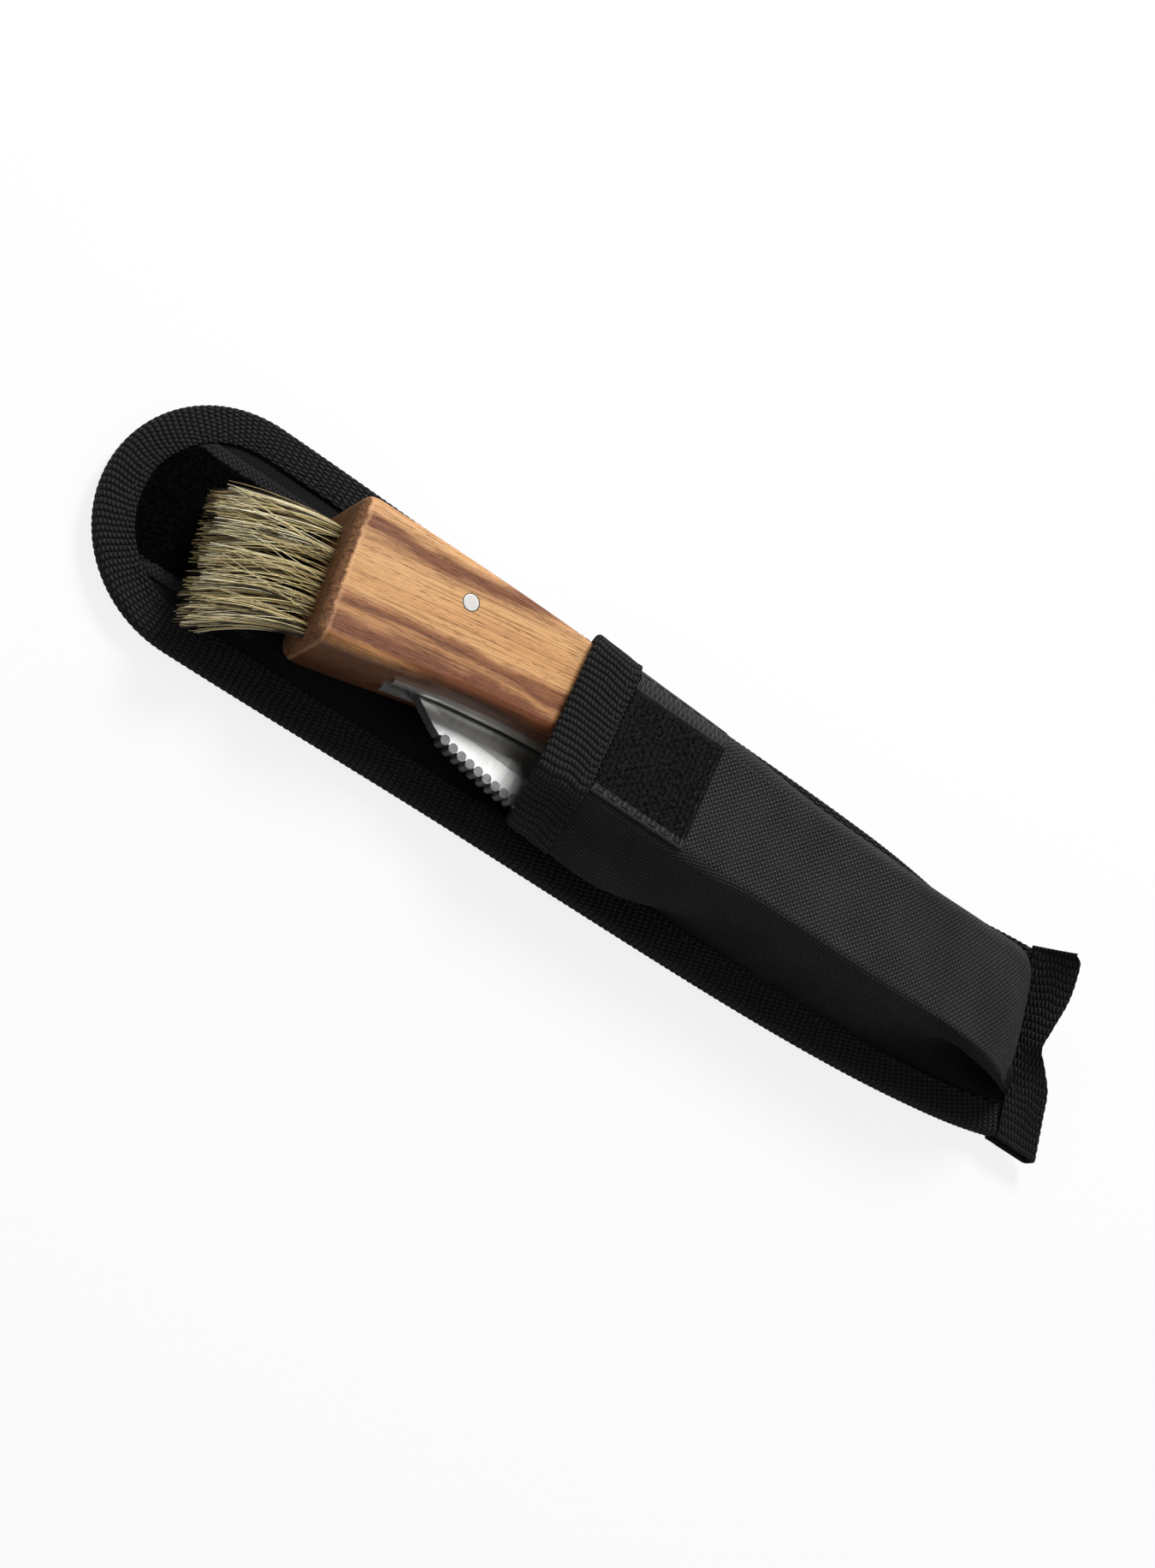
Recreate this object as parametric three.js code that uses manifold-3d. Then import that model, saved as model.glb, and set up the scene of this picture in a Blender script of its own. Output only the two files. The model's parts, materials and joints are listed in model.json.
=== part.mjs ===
// Folding mushroom knife with an end brush, lying half drawn in its belt pouch.
// Millimetres. x runs from the flap (negative) to the pouch bottom, with the mouth at x = 0.
// y = 0 is the pouch's centre line, and the blade folds out on the negative side.
import * as THREE from 'three';
import { mergeVertices } from 'three/addons/utils/BufferGeometryUtils.js';
import Module from 'manifold-3d';

const wasm = await Module();
wasm.setup();

// Gaps and overruns shared by all pieces
const seamGap = 0.12;           // between sewn layers
const fitGap = 0.05;            // round pins, and between the stacked steel pieces
const runGap = 0.3;             // between the handle and the cloth it slides on
const cutOver = 2;              // how far a cutter runs past what it cuts
const mergeGap = 0.0001;        // points closer than this are one point

// Cloth and tape thicknesses
const webbing = 1.2;            // belt loop strap
const tape = 0.4;               // folded binding tape, one layer
const backing = 1.6;            // padded back panel
const cloth = 0.8;              // front panel and gussets
const loopPile = 0.6;           // soft half of the closure
const hookPile = 0.9;           // stiff half of the closure

// Pouch outline seen from above
const pocketRoom = 0.9;         // handle's side to the foot of a gusset
const footInset = 6.9;          // foot of a gusset to the pouch's edge
const flapFlare = 0.7;          // how much wider the flap is on each side
const flareRun = 60;            // length over which it narrows to the pocket's width
const bottomTaper = 6.3;        // how far each side draws in towards the bottom end
const taperPower = 4.3;         // how late the sides draw in
const endShare = 0.72;          // edge binding's width at the bottom end over that above it
const flapReach = 80.4;         // mouth to the flap's round end
const flapEndLength = 13.9;     // the flap's round end to the line it folds on
const pouchDepth = 117;         // mouth to the bottom binding
const bindingWidth = 6.4;       // edge binding seen from above
const roundSides = 64;

// Bottom end, pressed flat, skewed and lifted on the far side
const bottomBand = 9.6;         // width of the bottom binding
const endSkew = 17.6;            // how far the far corner lies back
const endLift = 17.6;            // how far the far corner stands up
const endDent = 4.2;            // how far the middle of the end is pressed in
const dentShares = [[-1, 0], [-0.6, 0.28], [-0.33, 0.38], [0, 1], [0.2, 0.8], [0.6, 0.3], [1, 0]];
const skewStart = 70;           // where the skew begins
const liftStart = 98;           // where the lift begins
const endPower = 1.25;          // how late both set in
const flattenStart = 74;        // where the front starts to come down
const flattenPowers = [4, 10];  // how late it does on the near and on the far side
const bandSteps = 16;           // strips that the bottom binding's middle is drawn in
const gussetFold = 1.8;         // width that a gusset folds away into at the end
const creaseFold = 0.5;         // the same for the crease beside it

// Front pocket section
const nearTuck = 1.3;           // how far the gusset on the blade side lies inside the handle's half width
const farTuck = 0.6;            // the same on the back side
const farMouthRoom = 1.75;      // how far that side lies outside it at the mouth
const farWallRun = 75;          // length over which it narrows
const nearCrease = 2.5;         // radius of the fold on the blade side
const farCrease = 4;            // radius of the fold on the back side
const bladeBulge = 6;           // how far the blade pushes the near gusset out
const bulgeHold = 9.4;          // length over which it stays out
const bulgeRun = 24;            // length over which it fades
const endHollow = 5;            // how far the same gusset falls in at the bottom end
const hollowStart = 80;         // where it starts to
const mouthRake = 5.5;          // how far the mouth's feet lie behind its top
const rakeRun = 40;             // length over which the rake fades
const mouthTape = 9.3;          // width of the mouth binding
const bulgePower = 1.5;         // how sharply the bulge rises from the foot
const handlePush = 0.9;         // how far the handle pushes the far gusset out
const pushPower = 0.5;          // how sharply that rises from the foot
const sideShares = [0.1, 0.28, 0.45, 0.62, 0.82];
const creaseSteps = 3;
const topSteps = 12;
const midShares = [0.17, 0.4, 0.67];
const flattenShares = [0.35, 0.55, 0.68, 0.78, 0.86, 0.93, 0.97];
const bandShares = [0.25, 0.5, 0.75];

// Closure patches
const hookLength = 19;
const hookWidth = 20;
const hookStart = 9.7;          // mouth to the hook patch
const loopLength = 26.8;
const loopWidth = 26;

// Belt loop under the back panel
const beltLoopLength = 76;
const beltLoopWidth = 30;
const beltLoopStart = -12;

// Handle
const handleLength = 107.5;
const handleOut = 44;           // how far the handle stands out of the mouth
const handleThickness = 16;
const handleRound = 2.2;        // arris radius
const roundSteps = 3;
const buttWidth = 27;
const buttSkew = 3.2;           // how far the butt's far corner stands out past the near one
const bellyShares = [
  [0.1, 0.426], [0.19, 0.337], [0.28, 0.258], [0.37, 0.205], [0.46, 0.17], [0.57, 0.172], [0.68, 0.185],
  [0.8, 0.205], [0.9, 0.235],
];
const noseShares = [[0.965, 0.15], [0.995, -0.05], [0.975, -0.27], [0.91, -0.385]];
const backShares = [[0.78, -0.445], [0.64, -0.465], [0.5, -0.489], [0.36, -0.516], [0.18, -0.516]];
const outlineSteps = 46;

// Steel work inside the handle
const slotStart = 18;           // butt to the end of the slot
const slotRoom = 1.7;           // end of the slot to the closed blade's tip
const linerThickness = 1.2;
const bladeThickness = 2;
const washerThickness = 0.65;
const washerRadius = 5;
const linerInset = 0.4;         // how far the liners lie inside the wood's outline at the nose and back
const linerBellyShares = [      // on the blade side they stand proud of the wood
  [0.1, 0.46], [0.166, 0.4], [0.24, 0.332], [0.305, 0.291], [0.37, 0.256], [0.46, 0.229], [0.57, 0.211],
  [0.68, 0.204], [0.8, 0.208], [0.9, 0.235],
];
const pivotNose = 16.5;         // pivot to the handle's nose
const pivotSide = 3;            // pivot's distance from the centre line
const pivotRadius = 2;
const rivetRadius = 1.5;
const rearRivetBack = 22.2;
const rearRivetSide = 6.7;
const middleRivetBack = 57;
const middleRivetSide = 10.2;
const pinSides = 24;

// Blade, closed: lengths are measured from the pivot towards the butt
const bladeWidth = 18.8;        // pivot line to the widest point of the spine
const tangRadius = 6.6;
const tangTurns = [-0.58, 0.83];  // the tang's round part, in half turns from the nose
const tangSteps = 20;
const edgeThickness = 0.3;
const grindShare = 0.42;        // share of the width taken by the edge's grind
const spineShares = [
  [0.13, 0.43], [0.28, 0.56], [0.43, 0.735], [0.54, 0.89], [0.615, 0.975], [0.66, 1],
  [0.7, 0.99], [0.78, 0.952], [0.85, 0.905], [0.885, 0.85], [0.92, 0.765], [0.968, 0.634], [1, 0.51],
];
const edgeShares = [
  [0.13, 0.125], [0.28, 0.11], [0.43, 0.09], [0.54, 0.095], [0.615, 0.105], [0.66, 0.115],
  [0.7, 0.13], [0.78, 0.175], [0.85, 0.24], [0.885, 0.285], [0.92, 0.345], [0.968, 0.43], [1, 0.505],
];
const notchCount = 10;
const notchPitch = 1.94;
const notchRadius = 0.5;
const notchTip = 10;            // blade's tip to the last notch
const notchSides = 10;

// Back spring
const springBackShares = [[0, 0.99], [0.3, 0.995], [0.55, 0.955], [0.75, 0.91], [0.93, 0.85], [1, 0.81]];
const springFrontShares = [[1, 0.72], [0.93, 0.72], [0.75, 0.67], [0.58, 0.54], [0.45, 0.34], [0, 0.26]];
const springPast = 4;           // pivot to the spring's front end
const springRise = 14;          // centre line to the spring's back

// Brush
const tuftCount = 5;            // tufts in a row
const tuftPitch = 4.45;
const tuftRadius = 1.5;
const brushSide = 1.9;          // how far the brush sits towards the blade side
const rowSpacing = 4.2;
const rowDrop = 0.6;            // how far the brush sits below the handle's middle
const plugThickness = 1.2;
const plugEdge = 0.3;           // plug past the outer tufts
const plugGap = 0.1;            // between the two plugs
const plugWidth = (tuftCount - 1) * tuftPitch + 2 * (tuftRadius + plugEdge);
const plugHeight = rowSpacing - plugGap;
const strandsPerTuft = 36;
const strandRadius = 0.17;
const strandLength = 20.3;
const strandSides = 3;
const strandLean = 5.6;         // sideways bend at the tip
const strandDroop = 1.2;        // downward bend at the tip
const tuftFan = 0.5;            // how much wider a tuft is at its tips
const brushFan = 0.08;          // how much wider the whole brush is there
const rowFan = 0.32;            // how much further the rows are apart there
const strandShares = [0, 0.36, 0.7, 1];
const tipShare = 0.45;          // tip radius over root radius
const trimShare = 0.07;         // unevenness of the strand lengths
const trimTurns = [2.4, 1.7];   // how the lengths vary from strand to strand and tuft to tuft

// Lengths and widths that follow from those above
const handleHalf = buttWidth / 2;
const waistHalf = handleHalf + pocketRoom + footInset;
const pouchHalf = waistHalf + flapFlare;
const bottomHalf = waistHalf - bottomTaper;
const pouchEnd = pouchDepth + bottomBand;
const flapFold = flapReach - flapEndLength;
const nearWall = handleHalf - nearTuck;
const farWall = handleHalf - farTuck;
const farWallMouth = handleHalf + farMouthRoom;
const pivotBack = handleLength - pivotNose;
const bladeLength = pivotBack - slotStart - slotRoom;
const springLength = pivotBack - slotStart + springPast;

// Levels
const backingBottom = tape + seamGap;
const backingTop = backingBottom + backing;
const flapTop = backingTop + seamGap + tape;
const flangeTop = backingTop + seamGap + cloth;
const bindingTop = flangeTop + seamGap + tape;
const handleBottom = flapTop + runGap;
const handleTop = handleBottom + handleThickness;
const handleMiddle = handleBottom + handleThickness / 2;
const frontTop = handleTop + runGap + tape + 2 * seamGap + cloth;

// Stack in the slot
const washerInner = bladeThickness / 2 + fitGap;
const linerInner = washerInner + washerThickness + fitGap;
const linerOuter = linerInner + linerThickness;
const slotHalf = linerOuter + fitGap;
const handleButt = -handleOut;
const pivotX = handleButt + pivotBack;

const colours = {
  tape: 0x111113, cloth: 0x26262a, dark: 0x141416, pile: 0x0b0b0c,
  wood: 0xb9793f, steel: 0xb4b6b8, bright: 0xd8d9da, brass: 0xb08d4a, bristle: 0xc9b27a,
};

const mix = (a, b, t) => a + (b - a) * t;
const clamp = (t) => Math.min(1, Math.max(0, t));
const smooth = (t) => clamp(t) ** 2 * (3 - 2 * clamp(t));
const evenShares = (count) => [...Array(count + 1).keys()].map((i) => i / count);
const topShares = evenShares(topSteps).slice(1, -1);

// Reads a table of [place, value] pairs between its entries
function lookUp(table, at) {
  const after = Math.max(1, table.findIndex(([place], i) => place > at || i === table.length - 1));
  const [low, high] = [table[after - 1], table[after]];
  return mix(low[1], high[1], (at - low[0]) / (high[0] - low[0]));
}

// Solids and booleans

function toManifold(geometry) {
  const plain = geometry.clone();
  plain.deleteAttribute('normal');
  plain.deleteAttribute('uv');
  const merged = mergeVertices(plain, mergeGap);
  return new wasm.Manifold(new wasm.Mesh({
    numProp: 3,
    vertProperties: new Float32Array(merged.attributes.position.array),
    triVerts: new Uint32Array(merged.index.array),
  }));
}

function toGeometry(manifold) {
  const mesh = manifold.getMesh();
  const geometry = new THREE.BufferGeometry();
  geometry.setAttribute('position', new THREE.BufferAttribute(new Float32Array(mesh.vertProperties), 3));
  geometry.setIndex(new THREE.BufferAttribute(new Uint32Array(mesh.triVerts), 1));
  geometry.computeVertexNormals();
  return geometry;
}

function signedVolume(points, faces) {
  let volume = 0;
  for (const [a, b, c] of faces) {
    volume += points[a].dot(new THREE.Vector3().crossVectors(points[b], points[c]));
  }
  return volume;
}

function closedGeometry(points, faces) {
  const outward = signedVolume(points, faces) > 0 ? faces : faces.map(([a, b, c]) => [a, c, b]);
  const geometry = new THREE.BufferGeometry().setFromPoints(points);
  geometry.setIndex(outward.flat());
  geometry.computeVertexNormals();
  return geometry;
}

// A closed solid through a run of rings that have the same number of points.
// Each end is filled by zipping the first half of its ring to the second.
function loft(rings) {
  const size = rings[0].length;
  const points = rings.flat();
  const faces = [];
  for (let i = 0; i + 1 < rings.length; i++) {
    for (let j = 0; j < size; j++) {
      const k = (j + 1) % size;
      const [a, b] = [i * size + j, i * size + k];
      const [c, d] = [a + size, b + size];
      const shorter = points[a].distanceTo(points[d]) <= points[b].distanceTo(points[c]);
      faces.push(...(shorter ? [[a, b, d], [a, d, c]] : [[a, b, c], [b, d, c]]));
    }
  }
  const fill = [];
  for (let low = 0, high = size - 1; low + 1 < high; low++, high--) {
    fill.push([low, low + 1, high]);
    if (low + 2 < high) fill.push([low + 1, high - 1, high]);
  }
  const last = (rings.length - 1) * size;
  for (const [a, b, c] of fill) faces.push([a, c, b], [a + last, b + last, c + last]);
  return closedGeometry(points, faces);
}

function prism(outline, low, high) {
  const shape = new THREE.Shape(outline.map(([x, y]) => new THREE.Vector2(x, y)));
  const geometry = new THREE.ExtrudeGeometry(shape, { depth: high - low, bevelEnabled: false });
  return geometry.translate(0, 0, low);
}

function pin(x, y, low, high, radius) {
  const geometry = new THREE.CylinderGeometry(radius, radius, high - low, pinSides);
  return geometry.rotateX(Math.PI / 2).translate(x, y, (low + high) / 2);
}

function block(x0, x1, y0, y1, z0, z1) {
  const geometry = new THREE.BoxGeometry(x1 - x0, y1 - y0, z1 - z0);
  return geometry.translate((x0 + x1) / 2, (y0 + y1) / 2, (z0 + z1) / 2);
}

const model = new THREE.Group();

function addPiece(parent, name, geometry, color, roughness, metalness = 0) {
  const mesh = new THREE.Mesh(geometry, new THREE.MeshStandardMaterial({ color, roughness, metalness }));
  mesh.name = name;
  parent.add(mesh);
  return mesh;
}

// Pouch outline

// Half the pouch's width, or the distance from its centre line to what lies inset from its edge
function halfWidth(x, inset = 0) {
  const centre = pouchHalf - flapReach;
  if (x < centre) return Math.sqrt((pouchHalf - inset) ** 2 - (x - centre) ** 2);
  const taper = clamp(x / pouchDepth) ** taperPower;
  const width = mix(pouchHalf, waistHalf, smooth((x - centre) / flareRun));
  return width - bottomTaper * taper - inset * mix(1, endShare, taper);
}

// Skews, lifts and dents the bottom end, so that flat layers stay parallel to each other.
// Above the bindings the lift fades out, and the pocket's top keeps its height.
function place(x, y, z) {
  const across = (y + bottomHalf) / (2 * bottomHalf);
  const skew = endSkew * across * clamp((x - skewStart) / (pouchEnd - skewStart)) ** endPower;
  const lift = endLift * across * clamp((x - liftStart) / (pouchEnd - liftStart)) ** endPower;
  const dent = endDent * lookUp(dentShares, y / bottomHalf) * clamp((x - pouchDepth) / bottomBand);
  const fade = 1 - clamp((z - bindingTop) / (frontTop - bindingTop));
  return new THREE.Vector3(x - skew - dent, y, z + lift * fade);
}

// The same for the pocket, whose mouth leans back towards its feet
function placeRaked(x, y, z) {
  const height = (z - flangeTop) / (frontTop - flangeTop);
  return place(x + mouthRake * (1 - height) * clamp(1 - x / rakeRun), y, z);
}

const flapStations = [-flapFold + runGap, -flapReach + pouchHalf, -flapReach + pouchHalf * 2];
const between = (a, b, shares) => shares.map((share) => mix(a, b, share));
const pocketStations = [
  0, mouthTape, ...between(mouthTape, flattenStart, midShares), flattenStart,
  ...between(flattenStart, pouchDepth, flattenShares), pouchDepth,
];
const longStations = [...flapStations, -cutOver, ...pocketStations];
const bandStations = between(pouchDepth, pouchEnd, bandShares);

function bindingLevel(x) {
  return x < 0 ? flapTop : bindingTop;
}

function edgeBinding(side) {
  const stations = longStations.slice(0, -1).concat(pouchDepth - runGap);
  const rings = stations.map((x) => {
    const outer = halfWidth(x);
    const inner = halfWidth(x, bindingWidth);
    const wall = outer - tape;
    const top = bindingLevel(x);
    const section = [
      [inner, 0], [outer, 0], [outer, top], [inner, top],
      [inner, top - tape], [wall, top - tape], [wall, tape], [inner, tape],
    ];
    return section.map(([y, z]) => place(x, side * y, z));
  });
  return loft(rings);
}

// Places across the pouch for flat layers, close enough together for the twisted bottom end
function acrossPouch(outer, inner) {
  return [-outer, ...between(-inner, inner, evenShares(bandSteps)), outer];
}

function backPanel() {
  const stations = [...longStations, ...bandStations, pouchEnd - tape - seamGap];
  const rings = stations.map((x) => {
    const along = Math.min(x, pouchDepth);
    const across = acrossPouch(halfWidth(along) - tape - seamGap, halfWidth(along, bindingWidth));
    const under = across.map((y) => place(x, y, backingBottom));
    const over = across.map((y) => place(x, y, backingTop));
    return [...under, ...over.reverse()];
  });
  return loft(rings);
}

// Outer line of the pocket's section, from the near flange over the top to the far one
function uprightSection(x) {
  const far = mix(farWall, farWallMouth, (1 - clamp(x / farWallRun)) ** 2);
  const held = 1 - smooth((x - bulgeHold) / bulgeRun);
  const fallen = smooth((x - hollowStart) / (pouchDepth - hollowStart));
  const bulge = bladeBulge * held - endHollow * fallen;
  const edge = halfWidth(x) - tape - seamGap;
  const foot = halfWidth(x, footInset);
  const line = [[-edge, flangeTop], [-foot, flangeTop]];
  for (const v of sideShares) {
    const y = mix(foot, nearWall, v) + bulge * Math.sin(Math.PI * v) ** bulgePower;
    line.push([-y, mix(flangeTop, frontTop - nearCrease, v)]);
  }
  for (let i = 0; i <= creaseSteps; i++) {
    const turn = (Math.PI / 2) * (i / creaseSteps);
    line.push([-nearWall + nearCrease * (1 - Math.cos(turn)), frontTop - nearCrease * (1 - Math.sin(turn))]);
  }
  for (const v of topShares) line.push([mix(-nearWall + nearCrease, far - farCrease, v), frontTop]);
  for (let i = creaseSteps; i >= 0; i--) {
    const turn = (Math.PI / 2) * (i / creaseSteps);
    line.push([far - farCrease * (1 - Math.cos(turn)), frontTop - farCrease * (1 - Math.sin(turn))]);
  }
  for (const v of [...sideShares].reverse()) {
    const y = mix(foot, far, v) + handlePush * held * Math.sin(Math.PI * v) ** pushPower;
    line.push([y, mix(flangeTop, frontTop - farCrease, v)]);
  }
  line.push([foot, flangeTop], [edge, flangeTop]);
  return line;
}

// The same line pressed flat, with each gusset folded away beside its foot
function flatSection(x) {
  const edge = halfWidth(x) - tape - seamGap;
  const foot = halfWidth(x, footInset);
  const folds = sideShares.map((v) => v * gussetFold);
  for (let i = 0; i <= creaseSteps; i++) folds.push(gussetFold + creaseFold * (i / creaseSteps));
  const seam = foot - gussetFold - creaseFold;
  const near = folds.map((fold) => fold - foot);
  const far = folds.map((fold) => foot - fold).reverse();
  const across = [-edge, -foot, ...near, ...topShares.map((v) => mix(-seam, seam, v)), ...far, foot, edge];
  return across.map((y) => [y, flangeTop]);
}

// The section where it is partly pressed flat, moved outwards by an offset
function pocketSection(x, offset = 0) {
  const along = Math.min(x, pouchDepth);
  const share = clamp((along - flattenStart) / (pouchDepth - flattenStart));
  const flat = flatSection(along);
  return offsetLine(uprightSection(along), offset).map(([y, z], i) => {
    const power = mix(...flattenPowers, clamp((i - nearSeam) / (farSeam - nearSeam)));
    const flatten = share ** power;
    return [mix(y, flat[i][0], flatten), mix(z, flat[i][1] + offset, flatten)];
  });
}

const creaseStart = 2 + sideShares.length;
const nearSeam = creaseStart + creaseSteps;
const farSeam = nearSeam + topShares.length + 1;

function unit(a, b) {
  const length = Math.hypot(b[0] - a[0], b[1] - a[1]);
  return [(b[0] - a[0]) / length, (b[1] - a[1]) / length];
}

// The section's line moved outwards by a distance, or inwards by a negative one
function offsetLine(line, distance) {
  return line.map(([y, z], i) => {
    const before = unit(line[Math.max(i - 1, 0)], line[Math.max(i, 1)]);
    const after = unit(line[Math.min(i, line.length - 2)], line[Math.min(i + 1, line.length - 1)]);
    const normal = [-(before[1] + after[1]), before[0] + after[0]];
    const scale = distance / (normal[0] * -before[1] + normal[1] * before[0]);
    return [y + normal[0] * scale, z + normal[1] * scale];
  });
}

function pocketPiece(from, to) {
  const stations = [...pocketStations, ...bandStations, pouchEnd - tape - seamGap];
  const rings = stations.map((x) => {
    const outer = pocketSection(x);
    const inner = pocketSection(x, -cloth);
    const trimmed = (line) => {
      const part = line.slice(from, to + 1);
      if (from > 0) {
        const [dy, dz] = unit(line[from], line[from + 1]);
        part[0] = [line[from][0] + dy * seamGap, line[from][1] + dz * seamGap];
      }
      return part;
    };
    const ring = [...trimmed(outer), ...trimmed(inner).reverse()];
    return ring.map(([y, z]) => placeRaked(x, y, z));
  });
  return loft(rings);
}

function mouthBinding() {
  const inside = cloth + seamGap;
  const lip = -tape - seamGap;
  const levels = [tape + seamGap, seamGap, -inside, -inside - tape];
  const fronts = levels.map((level) => pocketSection(0, level));
  const rears = levels.map((level) => pocketSection(mouthTape, level));
  const rings = [];
  for (let i = 2; i < fronts[0].length - 2; i++) {
    const at = (lines, level, x) => placeRaked(x, lines[level][i][0], lines[level][i][1]);
    rings.push([
      at(rears, 0, mouthTape), at(fronts, 0, lip), at(fronts, 3, lip), at(rears, 3, mouthTape),
      at(rears, 2, mouthTape), at(fronts, 2, -seamGap), at(fronts, 1, -seamGap), at(rears, 1, mouthTape),
    ]);
  }
  return loft(rings);
}

function bottomBinding() {
  const start = pouchDepth + seamGap;
  const row = (end, z) => [start, ...bandStations, end].map((x) => [x, z]);
  const wall = pouchEnd - tape;
  const section = [
    ...row(pouchEnd, 0), ...row(pouchEnd, bindingTop).reverse(),
    ...row(wall, bindingTop - tape), ...row(wall, tape).reverse(),
  ];
  const across = acrossPouch(bottomHalf + tape, halfWidth(pouchDepth, bindingWidth));
  const rings = across.map((y) => section.map(([x, z]) => place(x, y, z)));
  return loft(rings);
}

// Flap end, cut from round pieces at the fold line

function flapEnd(geometry, inner = 0) {
  const side = pouchHalf + cutOver;
  const keep = block(-flapReach - cutOver, -flapFold, -side, side, -cutOver, bindingTop);
  const round = geometry.rotateX(Math.PI / 2).translate(pouchHalf - flapReach, 0, inner);
  return toGeometry(toManifold(round).intersect(toManifold(keep)));
}

function flapEndBinding() {
  const inner = pouchHalf - bindingWidth;
  const wall = pouchHalf - tape;
  const profile = [
    [inner, 0], [inner, tape], [wall, tape], [wall, flapTop - tape], [inner, flapTop - tape],
    [inner, flapTop], [pouchHalf, flapTop], [pouchHalf, 0], [inner, 0],
  ].map(([r, z]) => new THREE.Vector2(r, z));
  return flapEnd(new THREE.LatheGeometry(profile.reverse(), roundSides));
}

function flapEndPanel() {
  const radius = pouchHalf - tape - seamGap;
  const disc = new THREE.CylinderGeometry(radius, radius, backing, roundSides);
  return flapEnd(disc, (backingBottom + backingTop) / 2);
}

function loopPatchSolid() {
  const radius = pouchHalf - bindingWidth - seamGap;
  const bottom = backingTop + fitGap;
  const centre = pouchHalf - flapReach;
  const far = centre - radius;
  const round = new THREE.CylinderGeometry(radius, radius, loopPile, roundSides);
  round.rotateX(Math.PI / 2).translate(centre, 0, bottom + loopPile / 2);
  const straight = block(centre, far + loopLength, -radius, radius, bottom, bottom + loopPile);
  const keep = block(far - cutOver, far + loopLength, -loopWidth / 2, loopWidth / 2, 0, bindingTop);
  return toManifold(round).add(toManifold(straight)).intersect(toManifold(keep));
}

function loopPatchPart(low, high) {
  const keep = block(low, high, -pouchHalf, pouchHalf, 0, bindingTop);
  return toGeometry(loopPatchSolid().intersect(toManifold(keep)));
}

// Handle outline: the butt, then the belly, the nose and the back

function handleOutline(bellySide) {
  const at = ([along, across]) => new THREE.Vector2(handleButt + along * handleLength, -across * buttWidth);
  const belly = [new THREE.Vector2(handleButt + buttSkew / 2, -handleHalf), ...bellySide.map(at)];
  const nose = noseShares.map(at);
  const back = [...backShares.map(at), new THREE.Vector2(handleButt - buttSkew / 2, handleHalf)];
  const curve = new THREE.SplineCurve([...belly, ...nose, ...back]);
  return curve.getPoints(outlineSteps).map((p) => [p.x, p.y]);
}

// A slab of the handle's outline, with its edges rounded or its whole outline drawn in
function handleSlab(low, high, round, inset, bellySide) {
  const shape = new THREE.Shape(handleOutline(bellySide).map(([x, y]) => new THREE.Vector2(x, y)));
  const geometry = new THREE.ExtrudeGeometry(shape, {
    depth: high - low - 2 * round, bevelEnabled: true, bevelThickness: round,
    bevelSize: round, bevelOffset: -round - inset, bevelSegments: round > 0 ? roundSteps : 1,
  });
  return toManifold(geometry.translate(0, 0, low + round));
}

const rivets = [
  { name: 'rear_rivet', x: handleButt + rearRivetBack, y: rearRivetSide, radius: rivetRadius },
  { name: 'middle_rivet', x: handleButt + middleRivetBack, y: middleRivetSide, radius: rivetRadius },
  { name: 'pivot_pin', x: pivotX, y: pivotSide, radius: pivotRadius },
];

function drilled(solid, pins = rivets) {
  let result = solid;
  for (const { x, y, radius } of pins) {
    const hole = pin(x, y, -cutOver, handleTop + cutOver, radius + fitGap);
    result = result.subtract(toManifold(hole));
  }
  return result;
}

const buttAngle = Math.atan2(buttSkew, buttWidth);

// Moves a piece drawn against x = 0, facing negative x, onto the handle's skewed butt
function onButt(geometry) {
  return geometry.rotateZ(buttAngle).translate(handleButt, 0, 0);
}

const brushMiddle = handleMiddle - rowDrop;

function brushPocket() {
  const half = plugWidth / 2 + seamGap;
  const rise = rowSpacing / 2 + plugHeight / 2 + seamGap;
  const [low, high] = [brushMiddle - rise, brushMiddle + rise];
  return onButt(block(-cutOver, plugThickness + seamGap, -half - brushSide, half - brushSide, low, high));
}

function handleWood() {
  let wood = handleSlab(handleBottom, handleTop, handleRound, 0, bellyShares);
  const slotEnd = handleButt + slotStart - seamGap;
  const [low, high] = [handleMiddle - slotHalf, handleMiddle + slotHalf];
  const slot = block(slotEnd, handleLength, -buttWidth, buttWidth, low, high);
  wood = wood.subtract(toManifold(slot)).subtract(toManifold(brushPocket()));
  return toGeometry(drilled(wood));
}

function liner(low) {
  const high = low + linerThickness;
  const blank = handleSlab(low, high, 0, linerInset, linerBellyShares);
  const start = handleButt + slotStart;
  const keep = block(start, handleLength, -buttWidth, buttWidth, low - cutOver, high + cutOver);
  return toGeometry(drilled(blank.intersect(toManifold(keep))));
}

function backSpring() {
  const start = handleButt + slotStart;
  const at = ([along, rise]) => [start + along * springLength, rise * springRise];
  const outline = [...springFrontShares.map(at), ...springBackShares.map(at)];
  const half = linerInner - fitGap;
  return toGeometry(drilled(toManifold(prism(outline, handleMiddle - half, handleMiddle + half))));
}

function washer(low) {
  const disc = pin(pivotX, pivotSide, low, low + washerThickness, washerRadius);
  return toGeometry(drilled(toManifold(disc), [rivets[2]]));
}

// Blade: rings across the width from the tang to the tip, then the round tang and the notches

function bladeBody() {
  const half = bladeThickness / 2;
  const edgeHalf = edgeThickness / 2;
  const rings = spineShares.map(([along, spine], i) => {
    const x = pivotX - along * bladeLength;
    const spineY = pivotSide - spine * bladeWidth;
    const edgeY = pivotSide - edgeShares[i][1] * bladeWidth;
    const grindY = mix(edgeY, spineY, grindShare);
    const section = [
      [spineY, half], [grindY, half], [edgeY, edgeHalf],
      [edgeY, -edgeHalf], [grindY, -half], [spineY, -half],
    ];
    return section.map(([y, z]) => new THREE.Vector3(x, y, handleMiddle + z));
  });
  return loft(rings);
}

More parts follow.
